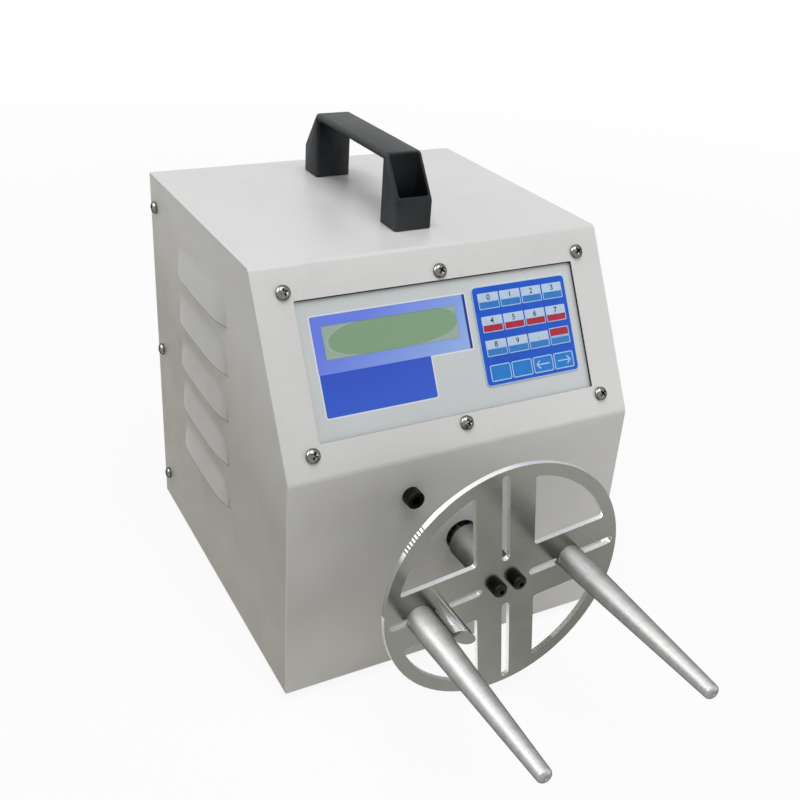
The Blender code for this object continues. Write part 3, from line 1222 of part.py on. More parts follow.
def build_inlet():
    """A mains inlet with three contacts and a fuse drawer above its mouth."""
    row = CASE_Z + REAR_ROW_HEIGHT
    x = INLET_X
    seat = BACK_Y + GAP
    face = seat + INLET_FLANGE
    back = BACK_Y - INLET_BODY_DEPTH
    inlet = add_object("mains_inlet",
                       box_mesh((x - INLET_HALF_WIDTH, back, row - INLET_HALF_HEIGHT),
                                (x + INLET_HALF_WIDTH, face, row + INLET_HALF_HEIGHT)), "black_plastic")
    rim_x = INLET_HALF_WIDTH + INLET_FLANGE_MARGIN
    rim_z = INLET_HALF_HEIGHT + INLET_FLANGE_MARGIN
    join(inlet, "inlet_flange", box_mesh((x - rim_x, seat, row - rim_z), (x + rim_x, face, row + rim_z)))
    mouth_z = row - INLET_MOUTH_DROP
    half_w = INLET_MOUTH_HALF_WIDTH
    half_h = INLET_MOUTH_HALF_HEIGHT
    chamfer = INLET_MOUTH_CHAMFER
    outline = [(x - half_w, mouth_z - half_h), (x + half_w, mouth_z - half_h),
               (x + half_w, mouth_z + half_h - chamfer), (x + half_w - chamfer, mouth_z + half_h),
               (x - half_w + chamfer, mouth_z + half_h), (x - half_w, mouth_z + half_h - chamfer)]
    cut(inlet, "inlet_mouth", prism_mesh(outline, "Y", face - INLET_MOUTH_DEPTH, face + OVERRUN))
    floor = face - INLET_MOUTH_DEPTH
    for name, shift, lift in (("left", -CONTACT_SPREAD, -CONTACT_DROP), ("middle", 0, CONTACT_DROP),
                              ("right", CONTACT_SPREAD, -CONTACT_DROP)):
        low = (x + shift - CONTACT_HALF_HEIGHT, floor - OVERRUN, mouth_z + lift - CONTACT_HALF_WIDTH)
        high = (x + shift + CONTACT_HALF_HEIGHT, floor + CONTACT_LENGTH, mouth_z + lift + CONTACT_HALF_WIDTH)
        join(inlet, "inlet_contact_" + name, box_mesh(low, high))
    drawer_z = row + DRAWER_LIFT
    cut(inlet, "drawer_hole",
        box_mesh((x - DRAWER_HALF_WIDTH - GAP, face - DRAWER_DEPTH - GAP, drawer_z - DRAWER_HALF_HEIGHT - GAP),
                 (x + DRAWER_HALF_WIDTH + GAP, face + OVERRUN, drawer_z + DRAWER_HALF_HEIGHT + GAP)))
    drawer = add_object("fuse_drawer",
                        box_mesh((x - DRAWER_HALF_WIDTH, face - DRAWER_DEPTH, drawer_z - DRAWER_HALF_HEIGHT),
                                 (x + DRAWER_HALF_WIDTH, face + DRAWER_PROUD, drawer_z + DRAWER_HALF_HEIGHT)),
                        "black_plastic")
    return drawer


def build_pedal_socket():
    """A round panel socket for the foot pedal's plug."""
    row = CASE_Z + REAR_ROW_HEIGHT
    seat = GAP
    face = seat + PEDAL_FLANGE + PEDAL_NOSE
    profile = [(0, face - PEDAL_BORE_DEPTH),
               (PEDAL_BORE_RADIUS, face - PEDAL_BORE_DEPTH),
               (PEDAL_BORE_RADIUS, face),
               (PEDAL_RADIUS, face),
               (PEDAL_RADIUS, seat + PEDAL_FLANGE),
               (PEDAL_FLANGE_RADIUS, seat + PEDAL_FLANGE),
               (PEDAL_FLANGE_RADIUS, seat),
               (PEDAL_RADIUS, seat),
               (PEDAL_RADIUS, seat - PEDAL_BODY_DEPTH),
               (0, seat - PEDAL_BODY_DEPTH)]
    socket = turned("pedal_socket", profile, "nickel", HIDDEN_SEGMENTS)
    socket.rotation_euler = (math.radians(-90.0), 0, 0)
    socket.location = (PEDAL_X, BACK_Y, row)


clear_scene()
PARTS = make_collection("wire_coil_winding_machine")
CUTTERS = make_collection("cutters")

build_front_cover()
build_side_panel("side_panel_left", -1)
build_side_panel("side_panel_right", 1)
build_base_plate()
build_rear_panel()
build_feet()
build_side_screws()
build_panel_screws()
build_control_panel()
build_housing()
build_bearings()
build_flange_bolts()
build_spindle()
build_hub()
TURNTABLE = make_empty("disc_axis", (0, DISC_Y, SPINDLE_Z), (0, -DISC_TURN, 0))
build_disc(TURNTABLE)
build_centre_screws(TURNTABLE)
build_arm("left_arm", -LEFT_ARM_PLACE, TURNTABLE)
build_arm("right_arm", RIGHT_ARM_PLACE, TURNTABLE)
build_wire_pin(TURNTABLE)
build_pulley("spindle_pulley", SPINDLE_PULLEY_RADIUS, SPINDLE_RADIUS + GAP, (0, PULLEY_Y, SPINDLE_Z),
             "satin_aluminium")
build_pulley("motor_pulley", MOTOR_PULLEY_RADIUS, MOTOR_SHAFT_RADIUS + GAP,
             (MOTOR_X, PULLEY_Y, MOTOR_AXIS_Z), "satin_aluminium")
build_belt()
build_motor()
build_power_supply()
build_handle()
build_switch()
build_inlet()
build_pedal_socket()
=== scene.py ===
"""Looks for the bench winding machine: satin case, printed panel, keypad, disc, arms, handle."""
import json
import math

import bmesh
import bpy
from mathutils import Matrix, Vector


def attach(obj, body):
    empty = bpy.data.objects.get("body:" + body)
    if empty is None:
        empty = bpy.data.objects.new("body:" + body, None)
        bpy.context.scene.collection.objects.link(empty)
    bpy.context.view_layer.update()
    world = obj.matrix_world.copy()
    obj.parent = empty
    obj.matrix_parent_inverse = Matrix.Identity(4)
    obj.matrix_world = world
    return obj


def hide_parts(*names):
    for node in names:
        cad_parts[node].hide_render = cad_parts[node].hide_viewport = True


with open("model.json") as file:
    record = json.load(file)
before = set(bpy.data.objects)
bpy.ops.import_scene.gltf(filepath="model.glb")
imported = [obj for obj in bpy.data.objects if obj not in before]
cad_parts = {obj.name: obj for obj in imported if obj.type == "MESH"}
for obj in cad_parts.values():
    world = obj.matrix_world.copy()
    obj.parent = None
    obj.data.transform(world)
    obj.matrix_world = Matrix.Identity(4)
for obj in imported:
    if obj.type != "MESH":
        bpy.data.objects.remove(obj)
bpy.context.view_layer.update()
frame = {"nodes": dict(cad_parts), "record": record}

# Sizes shared with the solids, in metres: FACE_Y is the front face, and the slope runs from SLOPE_START,
# its fold with the top, down to the front. Heights over the slope are measured from its outer skin.
FACE_Y = -0.02975
FOOT = 0.005
TOP_Z = 0.197
HALF_WIDTH = 0.0875
SLOPE_RUN = 0.0445
SLOPE_RISE = 0.0785
SLOPE_ANGLE = math.atan2(SLOPE_RISE, SLOPE_RUN)
SPINDLE_Z = 0.0701
DISC_Y = FACE_Y - 0.0383
DISC_TURN = math.radians(6.9)
SLOPE_START = Vector((0, FACE_Y + SLOPE_RUN, TOP_Z))
DOWN = Vector((0, -math.cos(SLOPE_ANGLE), -math.sin(SLOPE_ANGLE)))
OUTWARD = Vector((0, -math.sin(SLOPE_ANGLE), math.cos(SLOPE_ANGLE)))
OVERLAY_FACE = -0.0015
KEYPAD_FACE = OVERLAY_FACE + 0.00055
WINDOW_HALF = 0.0705
WINDOW_TOP = 0.0155
WINDOW_BOTTOM = 0.07554

# The solids keep GAP between pieces that touch, and SEAM round the side panels
GAP = 0.0003
SEAM = 0.00025

# Where the finishes and the painted light and shade change: louvre lips, the top of the handle's bar, the
# rim and windows of the disc
LIP_LOWEST = FOOT + 0.0577
LOUVRE_PITCH = 0.0241
LOUVRE_MIDDLE = FACE_Y + 0.1066
LOUVRE_HALF = 0.0356
GRIP_Z = TOP_Z + 0.0310
RIM_RADIUS = 0.0585
WINDOW_RADIUS = 0.0525

# Places on the sloping face: left and right across it, then top and bottom down it
DISPLAY = (-0.060, 0.0052, 0.0275, 0.042)
DISPLAY_BLOCK = (-0.0646, 0.0109, 0.0231, 0.0478)
DISPLAY_BLOCK_SHADE = (0.0096, 0.0109, 0.0231, 0.0478)
LABEL_BLOCK = (-0.0644, -0.0110, 0.0440, 0.0661)
KEYPAD = (0.0145, 0.0656, 0.0210, 0.0664)
KEYPAD_CORNER = 0.0022

# The keys: their places across, and the top of each row with its figures
KEY_LEFT = 0.0173
KEY_PITCH = 0.01167
KEY_WIDTH = 0.0110
KEY_WAIST = 0.0038
KEY_FOOT = 0.0072
FIGURE_ROWS = ((0.02415, ("0", "1", "2", "3"), "blue"), (0.03475, ("4", "5", "6", "7"), "red"),
               (0.04565, ("8", "9", ".", ""), "blue"))
FIGURE_HEIGHT = 0.0026
PLAIN_KEY_TOP = 0.0569
PLAIN_KEY_BOTTOM = 0.0645

# Printed and raised heights are counted in these steps
PRINT_STEP = 0.00001


# Shader maths; most of a noise lies between these two values
NOISE_LOW = 0.3
NOISE_HIGH = 0.7


class Value:
    """One output of a shader node; arithmetic on it adds Math nodes."""

    def __init__(self, tree, socket):
        self.tree = tree
        self.socket = socket

    def apply(self, operation, *others, clamp=False):
        node = self.tree.nodes.new("ShaderNodeMath")
        node.operation = operation
        node.use_clamp = clamp
        for slot, item in zip(node.inputs, (self, *others)):
            self.tree.feed(slot, item)
        return Value(self.tree, node.outputs[0])

    def __add__(self, other):
        return self.apply("ADD", other)

    __radd__ = __add__

    def __sub__(self, other):
        return self.apply("SUBTRACT", other)

    def __rsub__(self, other):
        return (self * -1) + other

    def __mul__(self, other):
        return self.apply("MULTIPLY", other)

    __rmul__ = __mul__

    def __truediv__(self, other):
        return self.apply("DIVIDE", other)

    def __rtruediv__(self, other):
        return (self ** -1) * other

    def __pow__(self, other):
        return self.apply("POWER", other)

    def __abs__(self):
        return self.apply("ABSOLUTE")

    def clamp(self):
        return self.apply("ADD", 0, clamp=True)

    def at_least(self, other):
        return self.apply("MAXIMUM", other)

    def at_most(self, other):
        return self.apply("MINIMUM", other)

    def fraction(self):
        return self.apply("FRACT")

    def sine(self):
        return self.apply("SINE")

    def root(self):
        return self.apply("SQRT")

    def angle_to(self, other):
        return self.apply("ARCTAN2", other)


class Tree:
    """The nodes of a material or of the world, and the one method that adds any of them."""

    def __init__(self, owner):
        owner.use_nodes = True
        self.nodes = owner.node_tree.nodes
        self.links = owner.node_tree.links

    def feed(self, slot, item):
        if isinstance(item, Value):
            self.links.new(item.socket, slot)
        elif isinstance(item, (tuple, list)) and len(item) == 3 and slot.type == "RGBA":
            slot.default_value = (*item, 1.0)
        else:
            slot.default_value = item

    def node(self, kind, settings=None, out=0, **values):
        """A node: its settings first, then its sockets, named, or numbered as i0, i1 and so on."""
        node = self.nodes.new(kind)
        for key, value in (settings or {}).items():
            setattr(node, key, value)
        for key, value in values.items():
            name = key.replace("_", " ")
            numbered = name[0] == "i" and name[1:].isdigit()
            self.feed(node.inputs[int(name[1:])] if numbered else node.inputs[name], value)
        return Value(self, node.outputs[out])

    def siblings(self, value, names):
        """Other outputs of the node that gave a value."""
        return [Value(self, value.socket.node.outputs[name]) for name in names]

    def background_rays(self):
        """A share that is one for rays that should meet the plain white background."""
        kinds = ("Is Camera Ray", "Is Glossy Ray", "Is Transmission Ray")
        seen, mirrored, through = self.siblings(self.node("ShaderNodeLightPath"), kinds)
        return seen.at_least(mirrored).at_least(through)


class Look(Tree):
    """A material being built: its Principled shader and the nodes that feed it."""

    def __init__(self, name, colour, roughness, metallic=0.0, **constants):
        self.material = bpy.data.materials.new(name)
        super().__init__(self.material)
        self.shader = self.nodes["Principled BSDF"]
        self.set("Base Color", colour)
        self.set("Roughness", roughness)
        self.set("Metallic", metallic)
        for key, value in constants.items():
            self.set(key.replace("_", " "), value)
        self.place = self.node("ShaderNodeTexCoord", out="Object")

    def set(self, name, item):
        self.feed(self.shader.inputs[name], item)

    def stretched(self, scale):
        return self.node("ShaderNodeMapping", Vector=self.place, Scale=scale)

    def noise(self, scale, detail=3.0, roughness=0.55, vector=None):
        return self.node("ShaderNodeTexNoise", Vector=vector or self.place, Scale=scale, Detail=detail,
                         Roughness=roughness)

    def spread(self, value, low, high, to_low=0.0, to_high=1.0):
        """A value rescaled from one range to another, held inside it."""
        return self.node("ShaderNodeMapRange", {"clamp": True}, Value=value, From_Min=low, From_Max=high,
                         To_Min=to_low, To_Max=to_high)

    def drift(self, noise, to_low=0.0, to_high=1.0):
        """The usual range of a noise, rescaled to another."""
        return self.spread(noise, NOISE_LOW, NOISE_HIGH, to_low, to_high)

    def mix(self, share, first, second):
        """Colours blended by a share from 0 to 1."""
        return self.node("ShaderNodeMix", {"data_type": "RGBA"}, out=2, i0=share, i6=first, i7=second)

    def split(self):
        """The place on the object, as its x, y and z."""
        return self.siblings(self.node("ShaderNodeSeparateXYZ", i0=self.place), "XYZ")

    def along(self, direction, start):
        """Distance from a place, measured along a direction."""
        dot = self.node("ShaderNodeVectorMath", {"operation": "DOT_PRODUCT"}, out="Value",
                        i0=self.place, i1=tuple(direction))
        return dot - Vector(direction).dot(Vector(start))

    def place_on_slope(self):
        """The place on the sloping face: across it, and down it from its fold."""
        return self.split()[0], self.along(DOWN, SLOPE_START)

    def bump(self, height, distance, strength=1.0, normal=None):
        values = {"Height": height, "Distance": distance, "Strength": strength}
        if normal is not None:
            values["Normal"] = normal
        return self.node("ShaderNodeBump", None, out="Normal", **values)


def rectangle(place, sides, corner=0.0, edge=0.00012):
    """A soft-edged share: one inside a rounded rectangle on the sloping face, zero outside it."""
    across, down = place
    left, right, top, bottom = sides
    past_side = abs(across - (left + right) / 2) - ((right - left) / 2 - corner)
    past_end = abs(down - (top + bottom) / 2) - ((bottom - top) / 2 - corner)
    outer = (past_side.at_least(0) ** 2 + past_end.at_least(0) ** 2).root()
    inner = past_side.at_least(past_end).at_most(0)
    distance = outer + inner - corner
    return (0.5 - distance / edge).clamp()


def grown(sides, margin):
    """A rectangle's left, right, top and bottom, moved outwards by a margin."""
    left, right, top, bottom = sides
    return left - margin, right + margin, top - margin, bottom + margin


def scaled(colour, factor):
    """A paler or darker version of a colour."""
    return tuple(min(1.0, part * factor) for part in colour)


# Finishes
def lip_shadow_marks(look, y, z):
    """Painted shadow: a dark line along each louvre's lip, and painted shade on the side just below it."""
    shadow_line_rise, shadow_line_half, shade_edge = 0.00012, 0.00030, 0.00006
    deepest, shallowest = 0.0019, 0.0005
    first_step, last_step, step_edge = 0.25, 4.75, 0.02
    along = abs(y - LOUVRE_MIDDLE) / LOUVRE_HALF
    step = (z - LIP_LOWEST) / LOUVRE_PITCH + 0.5
    rise = (step.fraction() - 0.5) * LOUVRE_PITCH
    beside = look.spread(along, 1.02, 0.985)
    above_first = look.spread(step, first_step, first_step + step_edge)
    below_last = look.spread(step, last_step, last_step - step_edge)
    held = beside * above_first * below_last
    line = (1.5 - abs(rise - shadow_line_rise) / shadow_line_half).clamp() * held
    reach = (1 - along ** 5).clamp() * deepest + shallowest
    under_lip_shade = (1 + rise / reach).clamp() * (0.5 - rise / shade_edge).clamp() * held
    return line, under_lip_shade


def lit_louvre_skins(look, x):
    """A share that is one on the louvres' raised skins, which are spared most of the side's painted shade,
    as painted light.
    """
    return look.spread(abs(x) - HALF_WIDTH, 0.0001, 0.0009)


def powder_paint(name="off_white_powder_coat", louvred=False):
    """Satin off-white powder coat: faint orange peel, handling smudges, greyer low down.

    The louvred sides also carry painted shade that deepens and warms towards the ground and the back,
    lighter on the raised louvre skins as painted light, and a painted shadow along and below each lip.
    """
    cream, cream_shaded = (0.795, 0.795, 0.790), (0.768, 0.767, 0.760)
    smudge, low_grey, speck = (0.60, 0.59, 0.57), (0.62, 0.61, 0.58), (0.50, 0.49, 0.46)
    # Painted shade on the side and painted shadow at the louvre lips: their colours, then the slant and
    # heights of the side's painted shade
    side_shade_tone, under_lip_shadow, lip_shadow_line = (0.400, 0.378, 0.300), (0.26, 0.25, 0.22), (0.085, 0.080, 0.070)
    shade_slant, shade_start, shade_full = 0.25, 0.152, 0.085
    look = Look(name, cream, roughness=0.42, Coat_Weight=0.12, Coat_Roughness=0.25)
    patches = look.noise(14.0, detail=4.0)
    smudges = look.noise(46.0, detail=5.0, roughness=0.65)
    specks = look.spread(look.noise(1500.0, detail=1.0), 0.74, 0.80)
    x, y, z = look.split()
    low = look.spread(z, 0.0, 0.10, to_low=1.0, to_high=0.0)
    shade = look.mix(look.spread(patches, 0.35, 0.70), cream, cream_shaded)
    shade = look.mix(look.spread(smudges, 0.56, 0.74) * 0.14, shade, smudge)
    shade = look.mix(low * 0.08, shade, low_grey)
    shade = look.mix(specks * 0.30, shade, speck)
    if louvred:
        # Painted shadow: a dark line along each louvre's lip, and painted shade on the side just below it
        line, under_lip_shade = lip_shadow_marks(look, y, z)
        # Painted shade: the side darkens and warms towards the ground and the back, less on the raised
        # louvre skins, which so get painted light
        film = look.spread(z - (y - FACE_Y) * shade_slant, shade_start, shade_full, to_low=0.0, to_high=0.80)
        film = film * (1 - lit_louvre_skins(look, x) * 0.7)
        shade = look.mix(film, shade, side_shade_tone)
        shade = look.mix(under_lip_shade * 0.55, shade, under_lip_shadow)
        shade = look.mix(line * 0.92, shade, lip_shadow_line)
    look.set("Base Color", shade)
    look.set("Roughness", look.drift(smudges, 0.36, 0.52))
    peel = look.noise(900.0, detail=2.0)
    grain = look.noise(3200.0, detail=1.0)
    look.set("Normal", look.bump(peel * 0.8 + grain * 0.2, distance=0.00002, strength=0.55))
    return look.material


def black_nylon():
    """Moulded slate-black handle plastic: fine spark-eroded grain, a painted highlight along its high edges
    and painted light on the top of its bar.
    """
    slate, slate_paler = (0.004, 0.005, 0.006), (0.008, 0.009, 0.011)
    lit_bar_top, edge_highlight = (0.030, 0.034, 0.034), (0.11, 0.12, 0.13)
    look = Look("black_moulded_nylon", slate, roughness=0.42, Specular_IOR_Level=0.10)
    grain = look.noise(2600.0, detail=2.0)
    wear = look.noise(60.0, detail=4.0)
    height = look.split()[2]
    pointed = look.node("ShaderNodeNewGeometry", out="Pointiness")
    # Painted highlight along the high edges, broken up by the wear noise
    edge = look.spread(pointed, 0.51, 0.58) * look.spread(wear, 0.35, 0.65, to_low=0.5, to_high=1.0)
    shade = look.mix(look.drift(wear), slate, slate_paler)
    # Painted light on the top of the bar
    shade = look.mix(look.spread(height, GRIP_Z, GRIP_Z + 0.0012) * 0.9, shade, lit_bar_top)
    look.set("Base Color", look.mix(edge * 0.7, shade, edge_highlight))
    look.set("Roughness", look.drift(wear, 0.36, 0.50))
    look.set("Normal", look.bump(grain, distance=0.00003, strength=0.5))
    return look.material


def skimmed_aluminium():
    """The disc's skimmed face: fine turning rings, streaks of rubbing and a slow drift in its tone; its
    dark grey is a painted reflection of dim surroundings, made paler towards the upper right and the left
    by more painted reflection.
    """
    # The dark greys are a painted reflection of dim surroundings, and the paler grey is painted reflection
    # too
    grey, grey_paler, painted_reflection_grey = (0.160, 0.160, 0.141), (0.193, 0.193, 0.173), (0.290, 0.290, 0.268)
    ring_rate = 9000.0
    look = Look("skimmed_aluminium", grey_paler, roughness=0.16, metallic=1.0)
    x, y, z = look.split()
    drop = z - SPINDLE_Z
    rings = ((x * x + drop * drop).root() * ring_rate).sine()
    streaks = look.noise(1.0, detail=3.0, roughness=0.6, vector=look.stretched((25.0, 25.0, 900.0)))
    shade = look.mix(look.drift(look.noise(45.0, detail=3.0)), grey, grey_paler)
    # Painted reflection: the face turns paler towards the upper right and the left
    right_painted_reflection = look.spread(x * 0.6 + drop, 0.015, 0.060) * 0.75
    left_painted_reflection = look.spread(x * -1.0 - drop * 0.4, 0.002, 0.035) * 0.6
    look.set("Base Color", look.mix((right_painted_reflection + left_painted_reflection).clamp(), shade, painted_reflection_grey))
    look.set("Roughness", look.drift(streaks, 0.18, 0.26))
    look.set("Normal", look.bump(rings, distance=0.000002, strength=0.35))
    return look.material


def tool_ticks(look, around, middle, reach, count):
    """Even marks across a wall: their share of dark, within a reach of an angle round the disc."""
    here = look.spread(abs(around - middle), reach, reach * 0.75)
    return look.spread((around * count).sine(), -0.3, 0.5) * here


def milled_walls():
    """The bright walls of the disc's rim, windows and slots, with tool ticks on two short stretches, and
    painted shade darkening the rim over one stretch of its turn.
    """
    bright, bright_shaded = (0.95, 0.95, 0.93), (0.86, 0.86, 0.84)
    shaded_rim, tick = (0.24, 0.24, 0.225), (0.10, 0.10, 0.09)
    blend, rim_shade_start, rim_shade_full = 0.0007, 2.60, 2.70
    look = Look("milled_aluminium_walls", bright, roughness=0.30, metallic=1.0)
    x, y, z = look.split()
    drop = z - SPINDLE_Z
    radius = (x * x + drop * drop).root()
    around = drop.angle_to(x)
    patches = look.noise(26.0, detail=1.0)
    on_rim = look.spread(radius, RIM_RADIUS, RIM_RADIUS + blend)
    in_window = look.spread(radius, WINDOW_RADIUS, WINDOW_RADIUS + blend) * (1 - on_rim)
    marks = tool_ticks(look, around, middle=2.50, reach=0.14, count=215.0) * on_rim
    marks = marks + tool_ticks(look, around, middle=-1.05, reach=0.13, count=340.0) * in_window
    cloud = look.noise(90.0, detail=2.0)
    plain = look.mix(look.drift(cloud), bright, bright_shaded)
    # Painted shade: the rim turns dark over one stretch of its turn
    rim_shade = look.spread(around, rim_shade_start, rim_shade_full) * on_rim
    plain = look.mix(rim_shade * 0.9, plain, shaded_rim)
    look.set("Base Color", look.mix(marks, plain, tick))
    look.set("Roughness", look.drift(patches, 0.24, 0.36))
    look.set("Normal", look.bump(marks * -1.0 + cloud * 0.05, distance=0.00004, strength=0.6))
    return look.material


def turned_aluminium(name, colour, metallic):
    """A lathe-turned rod along Y: ridges round it, a speckled grain and soft clouds of tone."""
    ridge_rate = 14000.0
    look = Look(name, colour, roughness=0.36, metallic=metallic, Specular_IOR_Level=0.35,
                Specular_Tint=(0.0, 0.0, 0.0, 1.0))
    y = look.split()[1]
    feed = (y * ridge_rate).sine()
    bands = look.noise(1.0, detail=2.0, roughness=0.5, vector=look.stretched((3.0, 260.0, 3.0)))
    cloud = look.noise(70.0, detail=3.0)
    grain = look.noise(1500.0, detail=2.0, roughness=0.6)
    dim = scaled(colour, 0.78)
    shade = look.mix(look.spread(bands, 0.35, 0.65), colour, scaled(colour, 1.12))
    shade = look.mix(look.spread(cloud, 0.5, 0.8) * 0.4, shade, dim)
    look.set("Base Color", look.mix(look.spread(grain, 0.42, 0.66) * 0.5, shade, dim))
    look.set("Roughness", look.drift(bands, 0.40, 0.49))
    ridges = look.bump(feed, distance=0.000025)
    look.set("Normal", look.bump(bands * 0.3 + grain * 0.4, distance=0.000004, strength=0.5, normal=ridges))
    return look.material


def plain_metal(name, colour, roughness, streak=(300.0, 20.0, 300.0), metallic=1.0, dark=0.7, rim=1.0):
    """Ground or plated metal with directional scratches and cloudy tarnish; a low rim darkens its edges."""
    look = Look(name, colour, roughness=roughness, metallic=metallic, Specular_Tint=(rim, rim, rim, 1.0))
    scratches = look.noise(1.0, detail=4.0, roughness=0.65, vector=look.stretched(streak))
    cloud = look.noise(120.0, detail=3.0)
    look.set("Base Color", look.mix(look.spread(cloud, 0.35, 0.75), colour, scaled(colour, dark)))
    look.set("Roughness", look.drift(scratches, roughness * 0.75, roughness * 1.3))
    look.set("Normal", look.bump(scratches, distance=0.000006, strength=0.4))
    return look.material


def plain_plastic(name, colour, roughness, grain_scale=2200.0, paler=1.25, shine=0.5):
    """Moulded plastic, rubber or blacking with a fine grain and slight colour variation."""
    look = Look(name, colour, roughness=roughness, Specular_IOR_Level=shine)
    cloud = look.noise(80.0, detail=3.0)
    look.set("Base Color", look.mix(look.drift(cloud), colour, scaled(colour, paler)))
    look.set("Roughness", look.drift(cloud, roughness * 0.88, min(1.0, roughness * 1.15)))
    look.set("Normal", look.bump(look.noise(grain_scale, detail=2.0), distance=0.00002, strength=0.4))
    return look.material


def printed_panel():
    """The polyester front sheet: pale grey, with blue blocks printed round the display, a painted shadow
    strip down the right side of the display block and a painted shadow under the window's top edge.
    """
    grey, grey_paler = (0.705, 0.745, 0.765), (0.745, 0.780, 0.790)
    violet, sky = (0.185, 0.270, 0.98), (0.36, 0.545, 1.0)
    deep_blue, deep_blue_paler = (0.045, 0.110, 0.70), (0.052, 0.140, 0.76)
    halo, side_shade, window_edge_shadow = (0.90, 0.94, 1.0), (0.02, 0.035, 0.30), (0.022, 0.022, 0.024)
    halo_width, halo_corner, block_corner = 0.0006, 0.0012, 0.0009
    edge_shadow_full, edge_shadow_end = 0.0003, 0.0006
    look = Look("printed_panel_sheet", grey, roughness=0.36, Specular_IOR_Level=0.22)
    across, down = place = look.place_on_slope()
    weave = look.noise(2400.0, detail=2.0)
    cloud = look.noise(30.0, detail=3.0)
    shade = look.mix(look.drift(cloud), grey, grey_paler)
    pale = look.mix(look.spread(across + down * 1.3, -0.010, 0.066), violet, sky)
    label = look.mix(look.spread(down, 0.046, 0.066), deep_blue, deep_blue_paler)
    shade = look.mix(rectangle(place, grown(LABEL_BLOCK, halo_width), halo_corner), shade, halo)
    shade = look.mix(rectangle(place, grown(DISPLAY_BLOCK, halo_width), halo_corner), shade, halo)
    shade = look.mix(rectangle(place, grown(KEYPAD, GAP), KEYPAD_CORNER + GAP), shade, halo)
    shade = look.mix(rectangle(place, LABEL_BLOCK, block_corner), shade, label)
    shade = look.mix(rectangle(place, DISPLAY_BLOCK, block_corner), shade, pale)
    shade = look.mix(rectangle(place, DISPLAY_BLOCK_SHADE, corner=0.0004), shade, side_shade)
    # Painted shadow: a dark line on the sheet just under the window's top edge, fainter at its left end
    edge_shadow = look.spread(down, WINDOW_TOP + edge_shadow_end, WINDOW_TOP + edge_shadow_full)
    edge_shadow = edge_shadow * look.spread(across, -0.075, -0.060, to_low=0.6, to_high=1.0)
    look.set("Base Color", look.mix(edge_shadow, shade, window_edge_shadow))
    look.set("Roughness", look.drift(cloud, 0.29, 0.38))
    look.set("Normal", look.bump(weave, distance=0.000012, strength=0.35))
    return look.material


def keypad_film():
    """Blue membrane sheet with a pale rounded line round it."""
    blue, blue_paler, pale_line = (0.020, 0.112, 0.68), (0.028, 0.140, 0.76), (0.78, 0.86, 1.0)
    look = Look("blue_keypad_film", blue, roughness=0.32, Specular_IOR_Level=0.1)
    inside = rectangle(look.place_on_slope(), grown(KEYPAD, -GAP), corner=0.0020)
    cloud = look.noise(60.0, detail=2.0)
    film = look.mix(look.drift(cloud), blue, blue_paler)
    look.set("Base Color", look.mix(inside, pale_line, film))
    look.set("Roughness", look.drift(cloud, 0.26, 0.34))
    look.set("Normal", look.bump(look.noise(2400.0, detail=2.0), distance=0.000012, strength=0.3))
    return look.material


def print_ink(name, colour):
    """A screen-printed ink with a faint mottle."""
    look = Look(name, colour, roughness=0.34, Specular_IOR_Level=0.2)
    cloud = look.noise(300.0, detail=2.0)
    look.set("Base Color", look.mix(look.drift(cloud), colour, scaled(colour, 0.9)))
    look.set("Roughness", look.drift(cloud, 0.28, 0.36))
    look.set("Normal", look.bump(look.noise(2600.0, detail=1.0), distance=0.000008, strength=0.3))
    return look.material


def display_green():
    """The display's green field, with the paler corners outside its oval."""
    row_light, row_dark = (0.235, 0.415, 0.235), (0.222, 0.395, 0.222)
    corner_green, oval_line = (0.36, 0.49, 0.41), (0.50, 0.60, 0.48)
    oval_across, oval_down, oval_half_width, oval_half_height = -0.0262, 0.0342, 0.0318, 0.0080
    row_rate = 6200.0
    look = Look("display_green", row_light, roughness=0.16, Coat_Weight=0.5, Coat_Roughness=0.05)
    across, down = look.place_on_slope()
    sideways = (across - oval_across) / oval_half_width
    endways = (down - oval_down) / oval_half_height + sideways * 0.10
    reach = abs(sideways) ** 2.6 + abs(endways) ** 2.2
    oval = (0.5 - (reach - 1.0) * 9.0).clamp()
    rim = (1.0 - abs(reach - 1.03) * 14.0).clamp()
    rim = rim * look.spread(across, -0.062, -0.010, to_low=1.0, to_high=0.0)
    rows = look.mix(look.spread((down * row_rate).sine(), -1.0, 1.0), row_light, row_dark)
    shade = look.mix(oval, corner_green, rows)
    look.set("Base Color", look.mix(rim * 0.6, shade, oval_line))
    look.set("Roughness", look.drift(look.noise(70.0, detail=2.0), 0.12, 0.2))
    return look.material


def circuit_board():
    """Green board with paler tracks in rows."""
    green, track_green = (0.02, 0.15, 0.06), (0.05, 0.24, 0.10)
    look = Look("green_circuit_board", green, roughness=0.4)
    tracks = look.node("ShaderNodeTexBrick", out="Fac", Vector=look.place, Scale=260.0, Mortar_Size=0.06)
    look.set("Base Color", look.mix(tracks, green, track_green))
    look.set("Roughness", look.drift(look.noise(90.0, detail=2.0), 0.32, 0.48))
    look.set("Normal", look.bump(tracks, distance=0.00003, strength=0.4))
    return look.material


